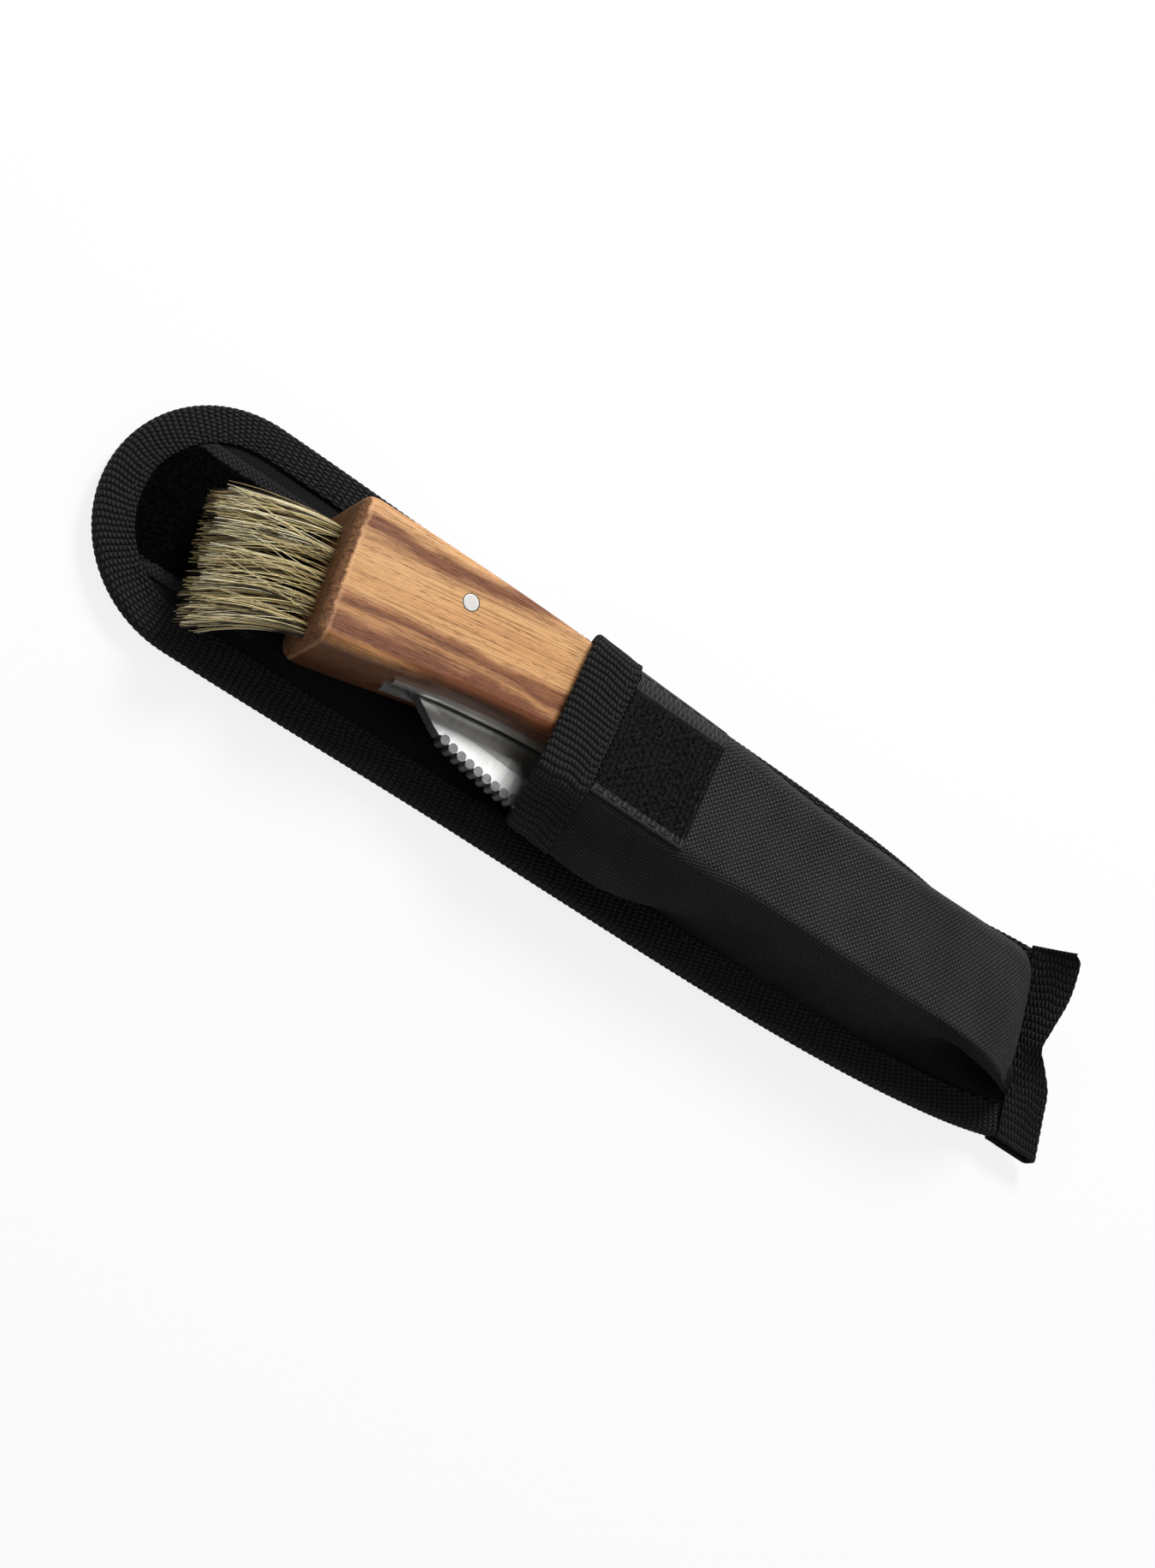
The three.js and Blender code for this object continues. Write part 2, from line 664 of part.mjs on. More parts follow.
function tang() {
  const [along, spine] = spineShares[0];
  const x = pivotX - along * bladeLength;
  const spineY = pivotSide - spine * bladeWidth;
  const edgeY = pivotSide - edgeShares[0][1] * bladeWidth;
  const outline = [[x - bladeThickness, edgeY], [x - bladeThickness, spineY], [x, spineY]];
  for (let i = 0; i <= tangSteps; i++) {
    const turn = Math.PI * mix(tangTurns[0], tangTurns[1], i / tangSteps);
    outline.push([pivotX + tangRadius * Math.cos(turn), pivotSide + tangRadius * Math.sin(turn)]);
  }
  const half = bladeThickness / 2;
  return prism(outline, handleMiddle - half, handleMiddle + half);
}

function blade() {
  let solid = toManifold(bladeBody()).add(toManifold(tang()));
  for (let i = 0; i < notchCount; i++) {
    const distance = bladeLength - notchTip - i * notchPitch;
    const notch = new THREE.CylinderGeometry(notchRadius, notchRadius, bladeThickness + cutOver, notchSides);
    const rise = bladeWidth * lookUp(spineShares, distance / bladeLength);
    notch.rotateX(Math.PI / 2).translate(pivotX - distance, pivotSide - rise, handleMiddle);
    solid = solid.subtract(toManifold(notch));
  }
  return toGeometry(drilled(solid, [rivets[2]]));
}

// Bristles: a row of tufts, each strand a bent and tapered rod fused to the row's plug strip

function strand(rootY, rowRise, offsetY, offsetZ, trim) {
  const length = strandLength * (1 - trimShare * trim);
  const spin = Math.PI / strandSides;
  const rings = strandShares.map((share) => {
    const reach = share === 0 ? -plugThickness / 2 : share * length;
    const spread = rootY * (1 + brushFan * share) + offsetY * (1 + tuftFan * share);
    const y = spread - brushSide - strandLean * share * share;
    const z = rowRise * (1 + rowFan * share) + offsetZ * (1 + tuftFan * share) - strandDroop * share * share;
    const radius = strandRadius * mix(1, tipShare, share);
    const ring = [];
    for (let i = 0; i < strandSides; i++) {
      const turn = spin + (2 * Math.PI * i) / strandSides;
      const rise = brushMiddle + z + radius * Math.sin(turn);
      ring.push(new THREE.Vector3(-reach, y + radius * Math.cos(turn), rise));
    }
    return ring;
  });
  return loft(rings);
}

function bristleRow(rowRise, phase) {
  const strands = [];
  const golden = Math.PI * (3 - Math.sqrt(5));
  for (let t = 0; t < tuftCount; t++) {
    const rootY = (t - (tuftCount - 1) / 2) * tuftPitch;
    for (let i = 0; i < strandsPerTuft; i++) {
      const radius = tuftRadius * Math.sqrt((i + 0.5) / strandsPerTuft);
      const turn = i * golden + t + phase;
      const offset = [radius * Math.cos(turn), radius * Math.sin(turn)];
      const trim = (1 + Math.sin(i * trimTurns[0] + t * trimTurns[1] + phase)) / 2;
      strands.push(toManifold(strand(rootY, rowRise, offset[0], offset[1], trim)));
    }
  }
  const half = plugWidth / 2;
  const level = brushMiddle + rowRise;
  const [low, high] = [level - plugHeight / 2, level + plugHeight / 2];
  const plug = block(0, plugThickness, -half - brushSide, half - brushSide, low, high);
  return onButt(toGeometry(wasm.Manifold.union([toManifold(plug), ...strands])));
}

// Assembly

const pouch = new THREE.Group();
const beltLoop = block(
  beltLoopStart, beltLoopStart + beltLoopLength,
  -beltLoopWidth / 2, beltLoopWidth / 2, -webbing - seamGap, -seamGap,
);
addPiece(pouch, 'belt_loop', beltLoop, colours.tape, 0.9);
addPiece(pouch, 'back_panel', backPanel(), colours.cloth, 0.9);
addPiece(pouch, 'left_edge_binding', edgeBinding(1), colours.tape, 0.85);
addPiece(pouch, 'right_edge_binding', edgeBinding(-1), colours.tape, 0.85);
addPiece(pouch, 'bottom_binding', bottomBinding(), colours.tape, 0.85);
addPiece(pouch, 'right_gusset', pocketPiece(0, nearSeam), colours.dark, 0.9);
addPiece(pouch, 'front_panel', pocketPiece(nearSeam, farSeam), colours.cloth, 0.9);
addPiece(pouch, 'left_gusset', pocketPiece(farSeam, farSeam + nearSeam), colours.dark, 0.9);
addPiece(pouch, 'mouth_binding', mouthBinding(), colours.tape, 0.85);

const hookMiddle = (farWall - farCrease - nearWall + nearCrease) / 2;
const hookPatch = block(
  hookStart, hookStart + hookLength, hookMiddle - hookWidth / 2, hookMiddle + hookWidth / 2,
  frontTop + fitGap, frontTop + fitGap + hookPile,
);
addPiece(pouch, 'hook_patch', hookPatch, colours.pile, 0.95);
addPiece(pouch, 'loop_patch', loopPatchPart(-flapFold + runGap, 0), colours.pile, 1);
addPiece(pouch, 'flap_end_panel', flapEndPanel(), colours.cloth, 0.9);
addPiece(pouch, 'flap_end_binding', flapEndBinding(), colours.tape, 0.85);
addPiece(pouch, 'flap_end_loop_patch', loopPatchPart(-flapReach, -flapFold), colours.pile, 1);

const knife = new THREE.Group();
addPiece(knife, 'handle_block', handleWood(), colours.wood, 0.55);
addPiece(knife, 'upper_liner', liner(handleMiddle + linerInner), colours.steel, 0.35, 1);
addPiece(knife, 'lower_liner', liner(handleMiddle - linerOuter), colours.steel, 0.35, 1);
addPiece(knife, 'back_spring', backSpring(), colours.steel, 0.4, 1);
addPiece(knife, 'upper_washer', washer(handleMiddle + washerInner), colours.brass, 0.4, 1);
addPiece(knife, 'lower_washer', washer(handleMiddle - washerInner - washerThickness), colours.brass, 0.4, 1);
for (const { name, x, y, radius } of rivets) {
  addPiece(knife, name, pin(x, y, handleBottom, handleTop, radius), colours.bright, 0.25, 1);
}
addPiece(knife, 'blade', blade(), colours.steel, 0.3, 1);
addPiece(knife, 'upper_bristle_row', bristleRow(rowSpacing / 2, 0), colours.bristle, 0.7);
addPiece(knife, 'lower_bristle_row', bristleRow(-rowSpacing / 2, 1), colours.bristle, 0.7);

model.add(pouch, knife);
const extent = new THREE.Box3().setFromObject(model);
const middle = extent.getCenter(new THREE.Vector3());
model.position.set(-middle.x, -middle.y, -extent.min.z);
model.updateMatrixWorld(true);

export default model;
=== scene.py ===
import bisect
import json
import math
import random

import bmesh
import bpy
from mathutils import Matrix, Vector, noise

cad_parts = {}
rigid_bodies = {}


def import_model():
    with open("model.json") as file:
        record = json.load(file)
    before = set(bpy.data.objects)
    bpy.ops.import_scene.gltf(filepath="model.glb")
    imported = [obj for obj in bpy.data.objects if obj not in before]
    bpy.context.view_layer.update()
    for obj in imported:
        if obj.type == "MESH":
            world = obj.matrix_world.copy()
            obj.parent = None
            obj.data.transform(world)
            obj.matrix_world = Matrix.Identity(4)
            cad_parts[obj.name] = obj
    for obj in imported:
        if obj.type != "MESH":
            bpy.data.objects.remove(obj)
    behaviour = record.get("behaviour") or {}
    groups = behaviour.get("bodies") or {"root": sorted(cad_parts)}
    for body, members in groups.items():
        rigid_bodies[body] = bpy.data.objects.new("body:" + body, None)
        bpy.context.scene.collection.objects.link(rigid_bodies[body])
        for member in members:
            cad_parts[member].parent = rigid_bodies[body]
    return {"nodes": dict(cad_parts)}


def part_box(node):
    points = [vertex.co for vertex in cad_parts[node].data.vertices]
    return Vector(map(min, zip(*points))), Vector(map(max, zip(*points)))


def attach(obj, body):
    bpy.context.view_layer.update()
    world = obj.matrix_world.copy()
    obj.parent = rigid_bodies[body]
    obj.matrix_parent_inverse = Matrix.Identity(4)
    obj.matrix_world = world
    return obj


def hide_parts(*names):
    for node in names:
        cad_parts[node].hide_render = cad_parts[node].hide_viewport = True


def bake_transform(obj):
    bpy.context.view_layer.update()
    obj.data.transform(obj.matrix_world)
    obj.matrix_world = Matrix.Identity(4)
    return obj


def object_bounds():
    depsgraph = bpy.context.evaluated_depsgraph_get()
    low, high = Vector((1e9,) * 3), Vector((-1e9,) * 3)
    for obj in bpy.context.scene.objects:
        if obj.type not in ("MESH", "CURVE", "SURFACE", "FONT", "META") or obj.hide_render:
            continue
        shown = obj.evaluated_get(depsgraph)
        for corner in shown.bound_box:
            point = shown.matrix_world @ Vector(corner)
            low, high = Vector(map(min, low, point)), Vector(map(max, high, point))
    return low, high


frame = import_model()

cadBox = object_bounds()
print("frame loaded")

# Shapes are worked out in millimetres, with x from the pocket's mouth and z from the pouch's
# underside. put() carries them into the frame.
mm = 0.001
pouchSize = {
    "flapReach": 80.4, "depth": 117.0, "flapFlare": 0.7, "flareRun": 60.0,
    "bottomTaper": 6.3, "taperPower": 4.3, "endShare": 0.72, "tapeWidth": 6.4, "bottomBand": 9.6,
    "endSkew": 16.8, "endLift": 17.6, "endDent": 4.2, "endCorner": 1.3,
    "skewStart": 70.0, "liftStart": 98.0, "endPower": 1.25,
    "dent": [(-1, 0), (-0.6, 0.1), (-0.33, 0.2), (-0.14, 0.64), (0, 1), (0.2, 0.74), (0.6, 0.16), (1, 0)],
    "flattenStart": 74.0, "flattenPowers": (4.0, 10.0), "gussetFold": 1.8, "creaseFold": 0.5,
    "footInset": 6.9, "nearTuck": 1.3, "farTuck": 0.6, "farMouthRoom": 1.75, "farWallRun": 75.0,
    "nearCrease": 2.5, "farCrease": 4.0,
    "bladeBulge": 4.7, "bulgeGrowth": 1.5, "bulgeHold": 18.0, "bulgeRun": 30.0, "bulgePower": 2.1,
    "handlePush": 0.9, "pushPower": 0.5, "endHollow": 5.0, "hollowStart": 80.0,
    "mouthRake": 5.5, "rakeRun": 40.0, "mouthTape": 9.3, "bindingRise": (-2.0, 4.0),
    "handleHalf": 13.5, "beltLoopLead": 12.0, "flapFold": 66.5, "foldLead": 0.5, "foldRun": 6.5,
}
layers = {"tape": 0.4, "seam": 0.12, "backing": 1.6, "cloth": 0.8, "slide": 0.3}

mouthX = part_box("belt_loop")[0].x + pouchSize["beltLoopLead"] * mm
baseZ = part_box("flap_end_binding")[0].z
woodLow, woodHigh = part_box("handle_block")
pouchHalf = cadBox[1].y / mm
waistHalf = pouchHalf - pouchSize["flapFlare"]
bottomHalf = waistHalf - pouchSize["bottomTaper"]
pouchEnd = pouchSize["depth"] + pouchSize["bottomBand"]
backTop = layers["tape"] + layers["seam"] + layers["backing"]
flapTop = backTop + layers["seam"] + layers["tape"]
flangeTop = backTop + layers["seam"] + layers["cloth"]
bindingTop = flangeTop + layers["seam"] + layers["tape"]
handleBottom = (woodLow.z - baseZ) / mm
handleTop = (woodHigh.z - baseZ) / mm
handleMiddle = (handleBottom + handleTop) / 2
frontTop = handleTop + layers["slide"] + layers["tape"] + 2 * layers["seam"] + layers["cloth"]
roundCentre = pouchHalf - pouchSize["flapReach"]


def put(x, y, z):
    return Vector((mouthX + x * mm, y * mm, baseZ + z * mm))


def fromFrame(spot):
    # The way back from put()
    return (spot.x - mouthX) / mm, spot.y / mm, (spot.z - baseZ) / mm


def mix(a, b, t):
    return a + (b - a) * t


def clamp(t):
    return min(1.0, max(0.0, t))


def smooth(t):
    return clamp(t) ** 2 * (3 - 2 * clamp(t))


def ease(t, start, run):
    return smooth((t - start) / run)


def ripple(x, y, z, scale):
    return noise.noise(Vector((x, y, z)) / scale)


def steps(a, b, count):
    return [mix(a, b, i / count) for i in range(count + 1)]


def linkObject(name, data):
    made = bpy.data.objects.new(name, data)
    bpy.context.collection.objects.link(made)
    return made


def meshFrom(name, bm):
    mesh = bpy.data.meshes.new(name)
    bm.to_mesh(mesh)
    bm.free()
    return mesh


# Camera and light

view = {
    "lens": 62.88, "target": (-0.007576, -0.00118, 0.00132), "distance": 0.4671,
    "azimuth": -41.64, "tilt": 31.24, "roll": 70.63,
}
lights = {
    "key": {"towards": (-0.05, 0.95, 0.95), "away": 0.75, "size": 0.3, "power": 8.2},
    "fill": {"towards": (0.75, -0.35, 0.8), "away": 0.9, "size": 0.5, "power": 1.2},
    "rim": {"towards": (-0.9, 0.1, 0.75), "away": 0.8, "size": 0.4, "power": 0.9},
    "world": 0.30,
    "floorDrop": 0.0002,
    "floorSize": 3.0,
    "floorGlow": 0.84,
    "floorColour": (0.62, 0.62, 0.62),
}


def makeCamera():
    data = bpy.data.cameras.new("camera")
    data.lens = view["lens"]
    data.sensor_width = 36.0
    data.clip_start = 0.01
    camera = linkObject("camera", data)
    azimuth, tilt, turn = [math.radians(view[name]) for name in ("azimuth", "tilt", "roll")]
    back = Vector((math.sin(azimuth) * math.sin(tilt), -math.cos(azimuth) * math.sin(tilt), math.cos(tilt)))
    right = Vector((math.cos(azimuth), math.sin(azimuth), 0))
    up = back.cross(right)
    across = math.cos(turn) * right + math.sin(turn) * up
    upright = math.cos(turn) * up - math.sin(turn) * right
    axes = Matrix((across, upright, back)).transposed().to_4x4()
    camera.matrix_world = Matrix.Translation(Vector(view["target"]) + back * view["distance"]) @ axes
    bpy.context.scene.camera = camera


def makeLight(name):
    made = lights[name]
    data = bpy.data.lights.new(name, "AREA")
    data.shape = "DISK"
    data.size = made["size"]
    data.energy = made["power"]
    lamp = linkObject(name, data)
    towards = Vector(made["towards"]).normalized()
    lamp.location = towards * made["away"]
    lamp.rotation_mode = "QUATERNION"
    lamp.rotation_quaternion = towards.to_track_quat("Z", "Y")


def makeSurroundings():
    world = bpy.data.worlds.new("studio")
    bpy.context.scene.world = world
    world.use_nodes = True
    tree = world.node_tree
    light = tree.nodes["Background"]
    light.inputs["Color"].default_value = (1, 1, 1, 1)
    light.inputs["Strength"].default_value = lights["world"]
    white = addNode(tree, "ShaderNodeBackground", {"Color": (1, 1, 1, 1), "Strength": 1.0})
    camera = addNode(tree, "ShaderNodeLightPath").outputs["Is Camera Ray"]
    seen = addNode(tree, "ShaderNodeMixShader", {0: camera, 1: light.outputs[0], 2: white.outputs[0]})
    tree.links.new(seen.outputs[0], tree.nodes["World Output"].inputs["Surface"])

    bm = bmesh.new()
    bmesh.ops.create_grid(bm, x_segments=1, y_segments=1, size=lights["floorSize"])
    bmesh.ops.translate(bm, verts=bm.verts, vec=(0, 0, cadBox[0].z - lights["floorDrop"]))
    floor = linkObject("floor", meshFrom("floor", bm))
    material, tree, shader = startMaterial("pale_floor", Roughness=0.9)
    shader.inputs["Base Color"].default_value = (*lights["floorColour"], 1)
    glow = addNode(tree, "ShaderNodeEmission", {"Color": (1, 1, 1, 1), "Strength": 1.0})
    camera = addNode(tree, "ShaderNodeLightPath").outputs["Is Camera Ray"]
    share = maths("MULTIPLY", camera, lights["floorGlow"])
    both = addNode(tree, "ShaderNodeMixShader", {0: share, 1: shader.outputs[0], 2: glow.outputs[0]})
    tree.links.new(both.outputs[0], tree.nodes["Material Output"].inputs["Surface"])
    floor.data.materials.append(material)


# Node helpers

def startMaterial(name, **values):
    material = bpy.data.materials.new(name)
    material.use_nodes = True
    shader = material.node_tree.nodes["Principled BSDF"]
    for socket, value in values.items():
        shader.inputs[socket.replace("_", " ")].default_value = value
    return material, material.node_tree, shader


def isSocket(value):
    return isinstance(value, bpy.types.NodeSocket)


def treeOf(*values):
    # The node tree that the first socket among the values belongs to
    return next(value.id_data for value in values if isSocket(value))


def fill(node, inputs):
    # A socket is linked to its input, and a plain value is set on it
    for key, value in inputs.items():
        if isSocket(value):
            node.id_data.links.new(value, node.inputs[key])
        else:
            node.inputs[key].default_value = value
    return node


def addNode(tree, kind, inputs=None, **settings):
    made = tree.nodes.new(kind)
    for key, value in settings.items():
        setattr(made, key, value)
    return fill(made, inputs or {})


def maths(operation, *values):
    return addNode(treeOf(*values), "ShaderNodeMath", dict(enumerate(values)), operation=operation).outputs[0]


def ramp(factor, stops, smoothly=True):
    made = addNode(treeOf(factor), "ShaderNodeValToRGB", {0: factor})
    made.color_ramp.interpolation = "EASE" if smoothly else "LINEAR"
    elements = made.color_ramp.elements
    while len(elements) < len(stops):
        elements.new(0.5)
    for element, (place, colour) in zip(elements, stops):
        element.position = place
        element.color = (*colour, 1)
    return made.outputs["Color"]


def blendColour(factor, a, b, kind="MIX"):
    inputs = {0: factor, 6: a if isSocket(a) else (*a, 1), 7: b if isSocket(b) else (*b, 1)}
    return addNode(treeOf(a, b), "ShaderNodeMix", inputs, data_type="RGBA", blend_type=kind).outputs[2]


def grains(vector, scale, detail=3.0, rough=0.55):
    inputs = {"Vector": vector, "Scale": scale, "Detail": detail, "Roughness": rough}
    return addNode(treeOf(vector), "ShaderNodeTexNoise", inputs).outputs["Fac"]


def addBump(shader, height, distance):
    bump = addNode(
        shader.id_data, "ShaderNodeBump", {"Height": height, "Distance": distance, "Strength": 1.0},
    )
    fill(shader, {"Normal": bump.outputs["Normal"]})


def objectSpot(tree, scale=(1, 1, 1), turn=0.0):
    spot = addNode(tree, "ShaderNodeTexCoord").outputs["Object"]
    made = addNode(tree, "ShaderNodeMapping", {"Vector": spot, "Scale": scale, "Rotation": (0, 0, turn)})
    return made.outputs[0]


def clothSpot(tree):
    spot = addNode(tree, "ShaderNodeUVMap", uv_map="cloth").outputs[0]
    split = addNode(tree, "ShaderNodeSeparateXYZ", {0: spot})
    return spot, split.outputs[0], split.outputs[1]


# Cloth materials. The cloth map's u runs along a piece and its v across, both in millimetres.

weaveLook = {
    "wanderScale": 0.6, "wander": 0.9, "knot": 1.1, "under": 0.22, "fineScale": 6.0, "patchScale": 0.09,
}
ribLook = {"wanderScale": 0.35, "wander": 1.1, "rib": 0.6, "bead": 0.82, "fineScale": 5.0}


def startCloth(name, light, roughness, sheen, sheenSpread, gloss=0.18):
    material, tree, shader = startMaterial(
        name, Roughness=roughness, Sheen_Weight=sheen, Sheen_Roughness=sheenSpread, Specular_IOR_Level=gloss,
    )
    shader.inputs["Sheen Tint"].default_value = (*light, 1)
    return material, tree, shader


def weaveCloth(name, dark, light, pitch, depth, roughness=0.82, sheen=0.25, diagonal=False):
    material, tree, shader = startCloth(name, light, roughness, sheen, 0.45)
    spot, along, across = clothSpot(tree)
    wander = maths("MULTIPLY", grains(spot, weaveLook["wanderScale"], 2.0), weaveLook["wander"])
    if diagonal:
        along, across = maths("ADD", along, across), maths("SUBTRACT", along, across)
    u, v = [maths("MULTIPLY_ADD", turn, math.pi / pitch, wander) for turn in (along, across)]
    product = maths("MULTIPLY", maths("SINE", u), maths("SINE", v))
    knots = maths("POWER", maths("ABSOLUTE", product), weaveLook["knot"])
    over = maths("MULTIPLY_ADD", maths("SIGN", product), weaveLook["under"], 1 - weaveLook["under"])
    height = maths("MULTIPLY", knots, over)
    fine = grains(spot, weaveLook["fineScale"], 2.0, 0.6)
    patchy = grains(spot, weaveLook["patchScale"], 3.0)
    # The colour follows the weave's height: raised knots are painted lighter, a painted highlight, and the
    # hollows between them darker, a painted shade
    tone = maths("MULTIPLY", height, maths("MULTIPLY_ADD", fine, 0.8, 0.6))
    tone = maths("MULTIPLY_ADD", patchy, 0.35, maths("MULTIPLY", tone, 0.85))
    # Painted shade: the fold attribute darkens the near gusset towards the pocket's end, where its hollow
    # lies
    fold = addNode(tree, "ShaderNodeAttribute", attribute_name="fold").outputs["Fac"]
    tone = maths("MULTIPLY", tone, maths("MULTIPLY_ADD", fold, -0.75, 1.0))
    colour = ramp(tone, [(0.12, dark), (0.62, mixColour(dark, light, 0.55)), (1.0, light)], False)
    fill(shader, {"Base Color": colour})
    addBump(shader, maths("MULTIPLY_ADD", fine, 0.25, height), depth)
    return material


def ribbedCloth(name, dark, light, ribPitch, beadPitch, depth, roughness=0.8, sheen=0.2):
    material, tree, shader = startCloth(name, light, roughness, sheen, 0.4)
    spot, along, across = clothSpot(tree)
    wander = grains(spot, ribLook["wanderScale"], 2.0)
    rib = maths("ABSOLUTE", maths("SINE", maths("MULTIPLY", along, math.pi / ribPitch)))
    shift = maths("MULTIPLY", maths("FLOOR", maths("DIVIDE", along, ribPitch)), math.pi / 2)
    beadTurn = maths("MULTIPLY_ADD", across, math.pi / beadPitch, shift)
    bead = maths("ABSOLUTE", maths("SINE", maths("MULTIPLY_ADD", wander, ribLook["wander"], beadTurn)))
    bead = maths("MULTIPLY_ADD", bead, ribLook["bead"], 1 - ribLook["bead"])
    knots = maths("MULTIPLY", maths("POWER", rib, ribLook["rib"]), bead)
    fine = grains(spot, ribLook["fineScale"], 2.0, 0.6)
    # The colour follows the ribs' and beads' height: crests are painted lighter, a painted highlight, and
    # valleys darker, a painted shade
    tone = maths("MULTIPLY", knots, maths("MULTIPLY_ADD", fine, 0.9, 0.5))
    colour = ramp(tone, [(0.1, dark), (0.6, mixColour(dark, light, 0.5)), (1.0, light)], False)
    fill(shader, {"Base Color": colour})
    addBump(shader, maths("MULTIPLY_ADD", fine, 0.3, knots), depth)
    return material


def mixColour(a, b, t):
    return tuple(mix(p, q, t) for p, q in zip(a, b))


def fuzzyThread(name, dark, light, roughness=0.9, sheen=0.3, gloss=0.22):
    material, tree, shader = startCloth(name, light, roughness, sheen, 0.5, gloss)
    spot = objectSpot(tree)
    fill(shader, {"Base Color": ramp(grains(spot, 1800), [(0.35, dark), (0.65, light)])})
    addBump(shader, grains(spot, 5000, 2.0), 0.00008)
    return material


# Wood, steel and hair

woodLook = {
    "grainTurn": -9.0,
    "streaks": [
        (-28.0, (0.13, 0.044, 0.018)), (-22.0, (0.30, 0.115, 0.045)), (-18.0, (0.19, 0.068, 0.026)),
        (-14.5, (0.33, 0.130, 0.050)), (-11.0, (0.20, 0.078, 0.030)), (-8.0, (0.30, 0.130, 0.048)),
        (-5.0, (0.43, 0.210, 0.082)), (-2.6, (0.36, 0.170, 0.064)), (-1.0, (0.130, 0.042, 0.014)),
        (1.2, (0.142, 0.045, 0.015)), (2.6, (0.38, 0.185, 0.072)), (4.2, (0.130, 0.042, 0.014)),
        (5.8, (0.225, 0.086, 0.031)), (7.4, (0.50, 0.272, 0.112)), (10.5, (0.45, 0.228, 0.088)),
        (13.5, (0.52, 0.290, 0.122)), (16.0, (0.38, 0.190, 0.074)), (17.6, (0.138, 0.043, 0.013)),
        (19.0, (0.178, 0.060, 0.018)), (20.4, (0.47, 0.250, 0.102)), (24.0, (0.41, 0.205, 0.080)),
    ],
    "wander": 3.4,
    "fineLines": 0.85,
    "pores": 0.8,
    "endReach": 1.55,
    "endDark": (0.05, 0.021, 0.010),
    "endLight": (0.24, 0.110, 0.045),
    "paleButtEdge": (0.60, 0.33, 0.17),
    "paintedSideShade": (0.30, 0.27, 0.34),
}


def stripedWood(name):
    material, tree, shader = startMaterial(name, Roughness=0.46, Specular_IOR_Level=0.22)
    spot = objectSpot(tree, (1000, 1000, 1000), math.radians(woodLook["grainTurn"]))
    split = addNode(tree, "ShaderNodeSeparateXYZ", {0: spot})
    along, across, high = split.outputs

    def stretched(x, y, z):
        return addNode(tree, "ShaderNodeCombineXYZ", {
            0: maths("MULTIPLY", along, x),
            1: maths("MULTIPLY", across, y),
            2: maths("MULTIPLY", high, z),
        }).outputs[0]

    slow = grains(stretched(0.045, 0.16, 0.16), 1.0, 2.0)
    ragged = grains(stretched(0.16, 1.1, 1.1), 1.0, 4.0, 0.65)
    wander = maths("MULTIPLY", maths("SUBTRACT", slow, 0.5), woodLook["wander"] * 2)
    wander = maths("MULTIPLY_ADD", maths("SUBTRACT", ragged, 0.5), 2.6, wander)
    level = maths("MULTIPLY_ADD", maths("SUBTRACT", high, 20.3), 0.55, across)
    band = maths("ADD", level, wander)
    low, top = woodLook["streaks"][0][0], woodLook["streaks"][-1][0]
    share = maths("DIVIDE", maths("SUBTRACT", band, low), top - low)
    share = maths("FRACT", maths("ADD", share, 2.0))
    stops = [((place - low) / (top - low), colour) for place, colour in woodLook["streaks"]]
    base = ramp(share, stops, False)

    lines = grains(stretched(0.035, 3.4, 3.4), 1.0, 4.0, 0.6)
    lines = ramp(lines, [(0.36, (0.5, 0.42, 0.35)), (0.52, (1, 1, 1)), (0.7, (1.12, 1.1, 1.06))])
    base = blendColour(woodLook["fineLines"], base, lines, "MULTIPLY")
    pores = grains(stretched(0.42, 9.0, 9.0), 1.0, 1.0)
    pores = ramp(pores, [(0.28, (0.3, 0.24, 0.2)), (0.36, (1, 1, 1))])
    base = blendColour(woodLook["pores"], base, pores, "MULTIPLY")

    # Painted shade: the wood's belly side, turned away from the key lamp, is multiplied darker where the side
    # attribute is set
    side = addNode(tree, "ShaderNodeAttribute", attribute_name="side").outputs["Fac"]
    base = blendColour(side, base, woodLook["paintedSideShade"], "MULTIPLY")
    turned = objectSpot(tree, (1000, 1000, 1000), -buttAngle)
    butt = onButt(0, 0, 0) / mm
    depth = addNode(tree, "ShaderNodeSeparateXYZ", {0: turned}).outputs[0]
    depth = maths("SUBTRACT", depth, butt.x * math.cos(buttAngle) + butt.y * math.sin(buttAngle))
    depth = maths("MULTIPLY_ADD", maths("SUBTRACT", grains(spot, 0.9, 3.0), 0.5), 1.1, depth)
    reach = maths("DIVIDE", maths("SUBTRACT", woodLook["endReach"], depth), 0.45)
    end = addNode(tree, "ShaderNodeClamp", {0: reach}).outputs[0]
    rings = grains(stretched(0.4, 1.6, 1.6), 1.0, 4.0, 0.7)
    dots = grains(stretched(0.4, 5.5, 5.5), 1.0, 2.0, 0.7)
    mottled = maths("MULTIPLY_ADD", dots, 0.6, maths("MULTIPLY", rings, 0.6))
    endColour = ramp(mottled, [(0.42, woodLook["endDark"]), (0.78, woodLook["endLight"])])
    # A paler ragged band across the wood just past the end grain, along the butt's edge
    away = maths("ABSOLUTE", maths("SUBTRACT", depth, woodLook["endReach"] + 0.15))
    nearButtEdge = addNode(tree, "ShaderNodeClamp", {0: maths("MULTIPLY_ADD", away, -2.2, 1.0)}).outputs[0]
    patchy = maths("MULTIPLY", nearButtEdge, maths("MULTIPLY_ADD", ragged, 1.2, -0.05))
    base = blendColour(end, base, endColour)
    base = blendColour(maths("MULTIPLY", patchy, 0.6), base, woodLook["paleButtEdge"])
    fill(shader, {"Base Color": base})
    rough = maths("MULTIPLY_ADD", ragged, 0.2, maths("MULTIPLY_ADD", end, 0.3, 0.36))
    fill(shader, {"Roughness": rough})
    shadow = addNode(tree, "ShaderNodeRGBToBW", {0: pores}).outputs[0]
    raised = maths("MULTIPLY", dots, maths("MULTIPLY", end, 2.5))
    relief = maths("MULTIPLY_ADD", shadow, 0.5, raised)
    addBump(shader, maths("MULTIPLY_ADD", ragged, 0.5, relief), 0.00009)
    return material


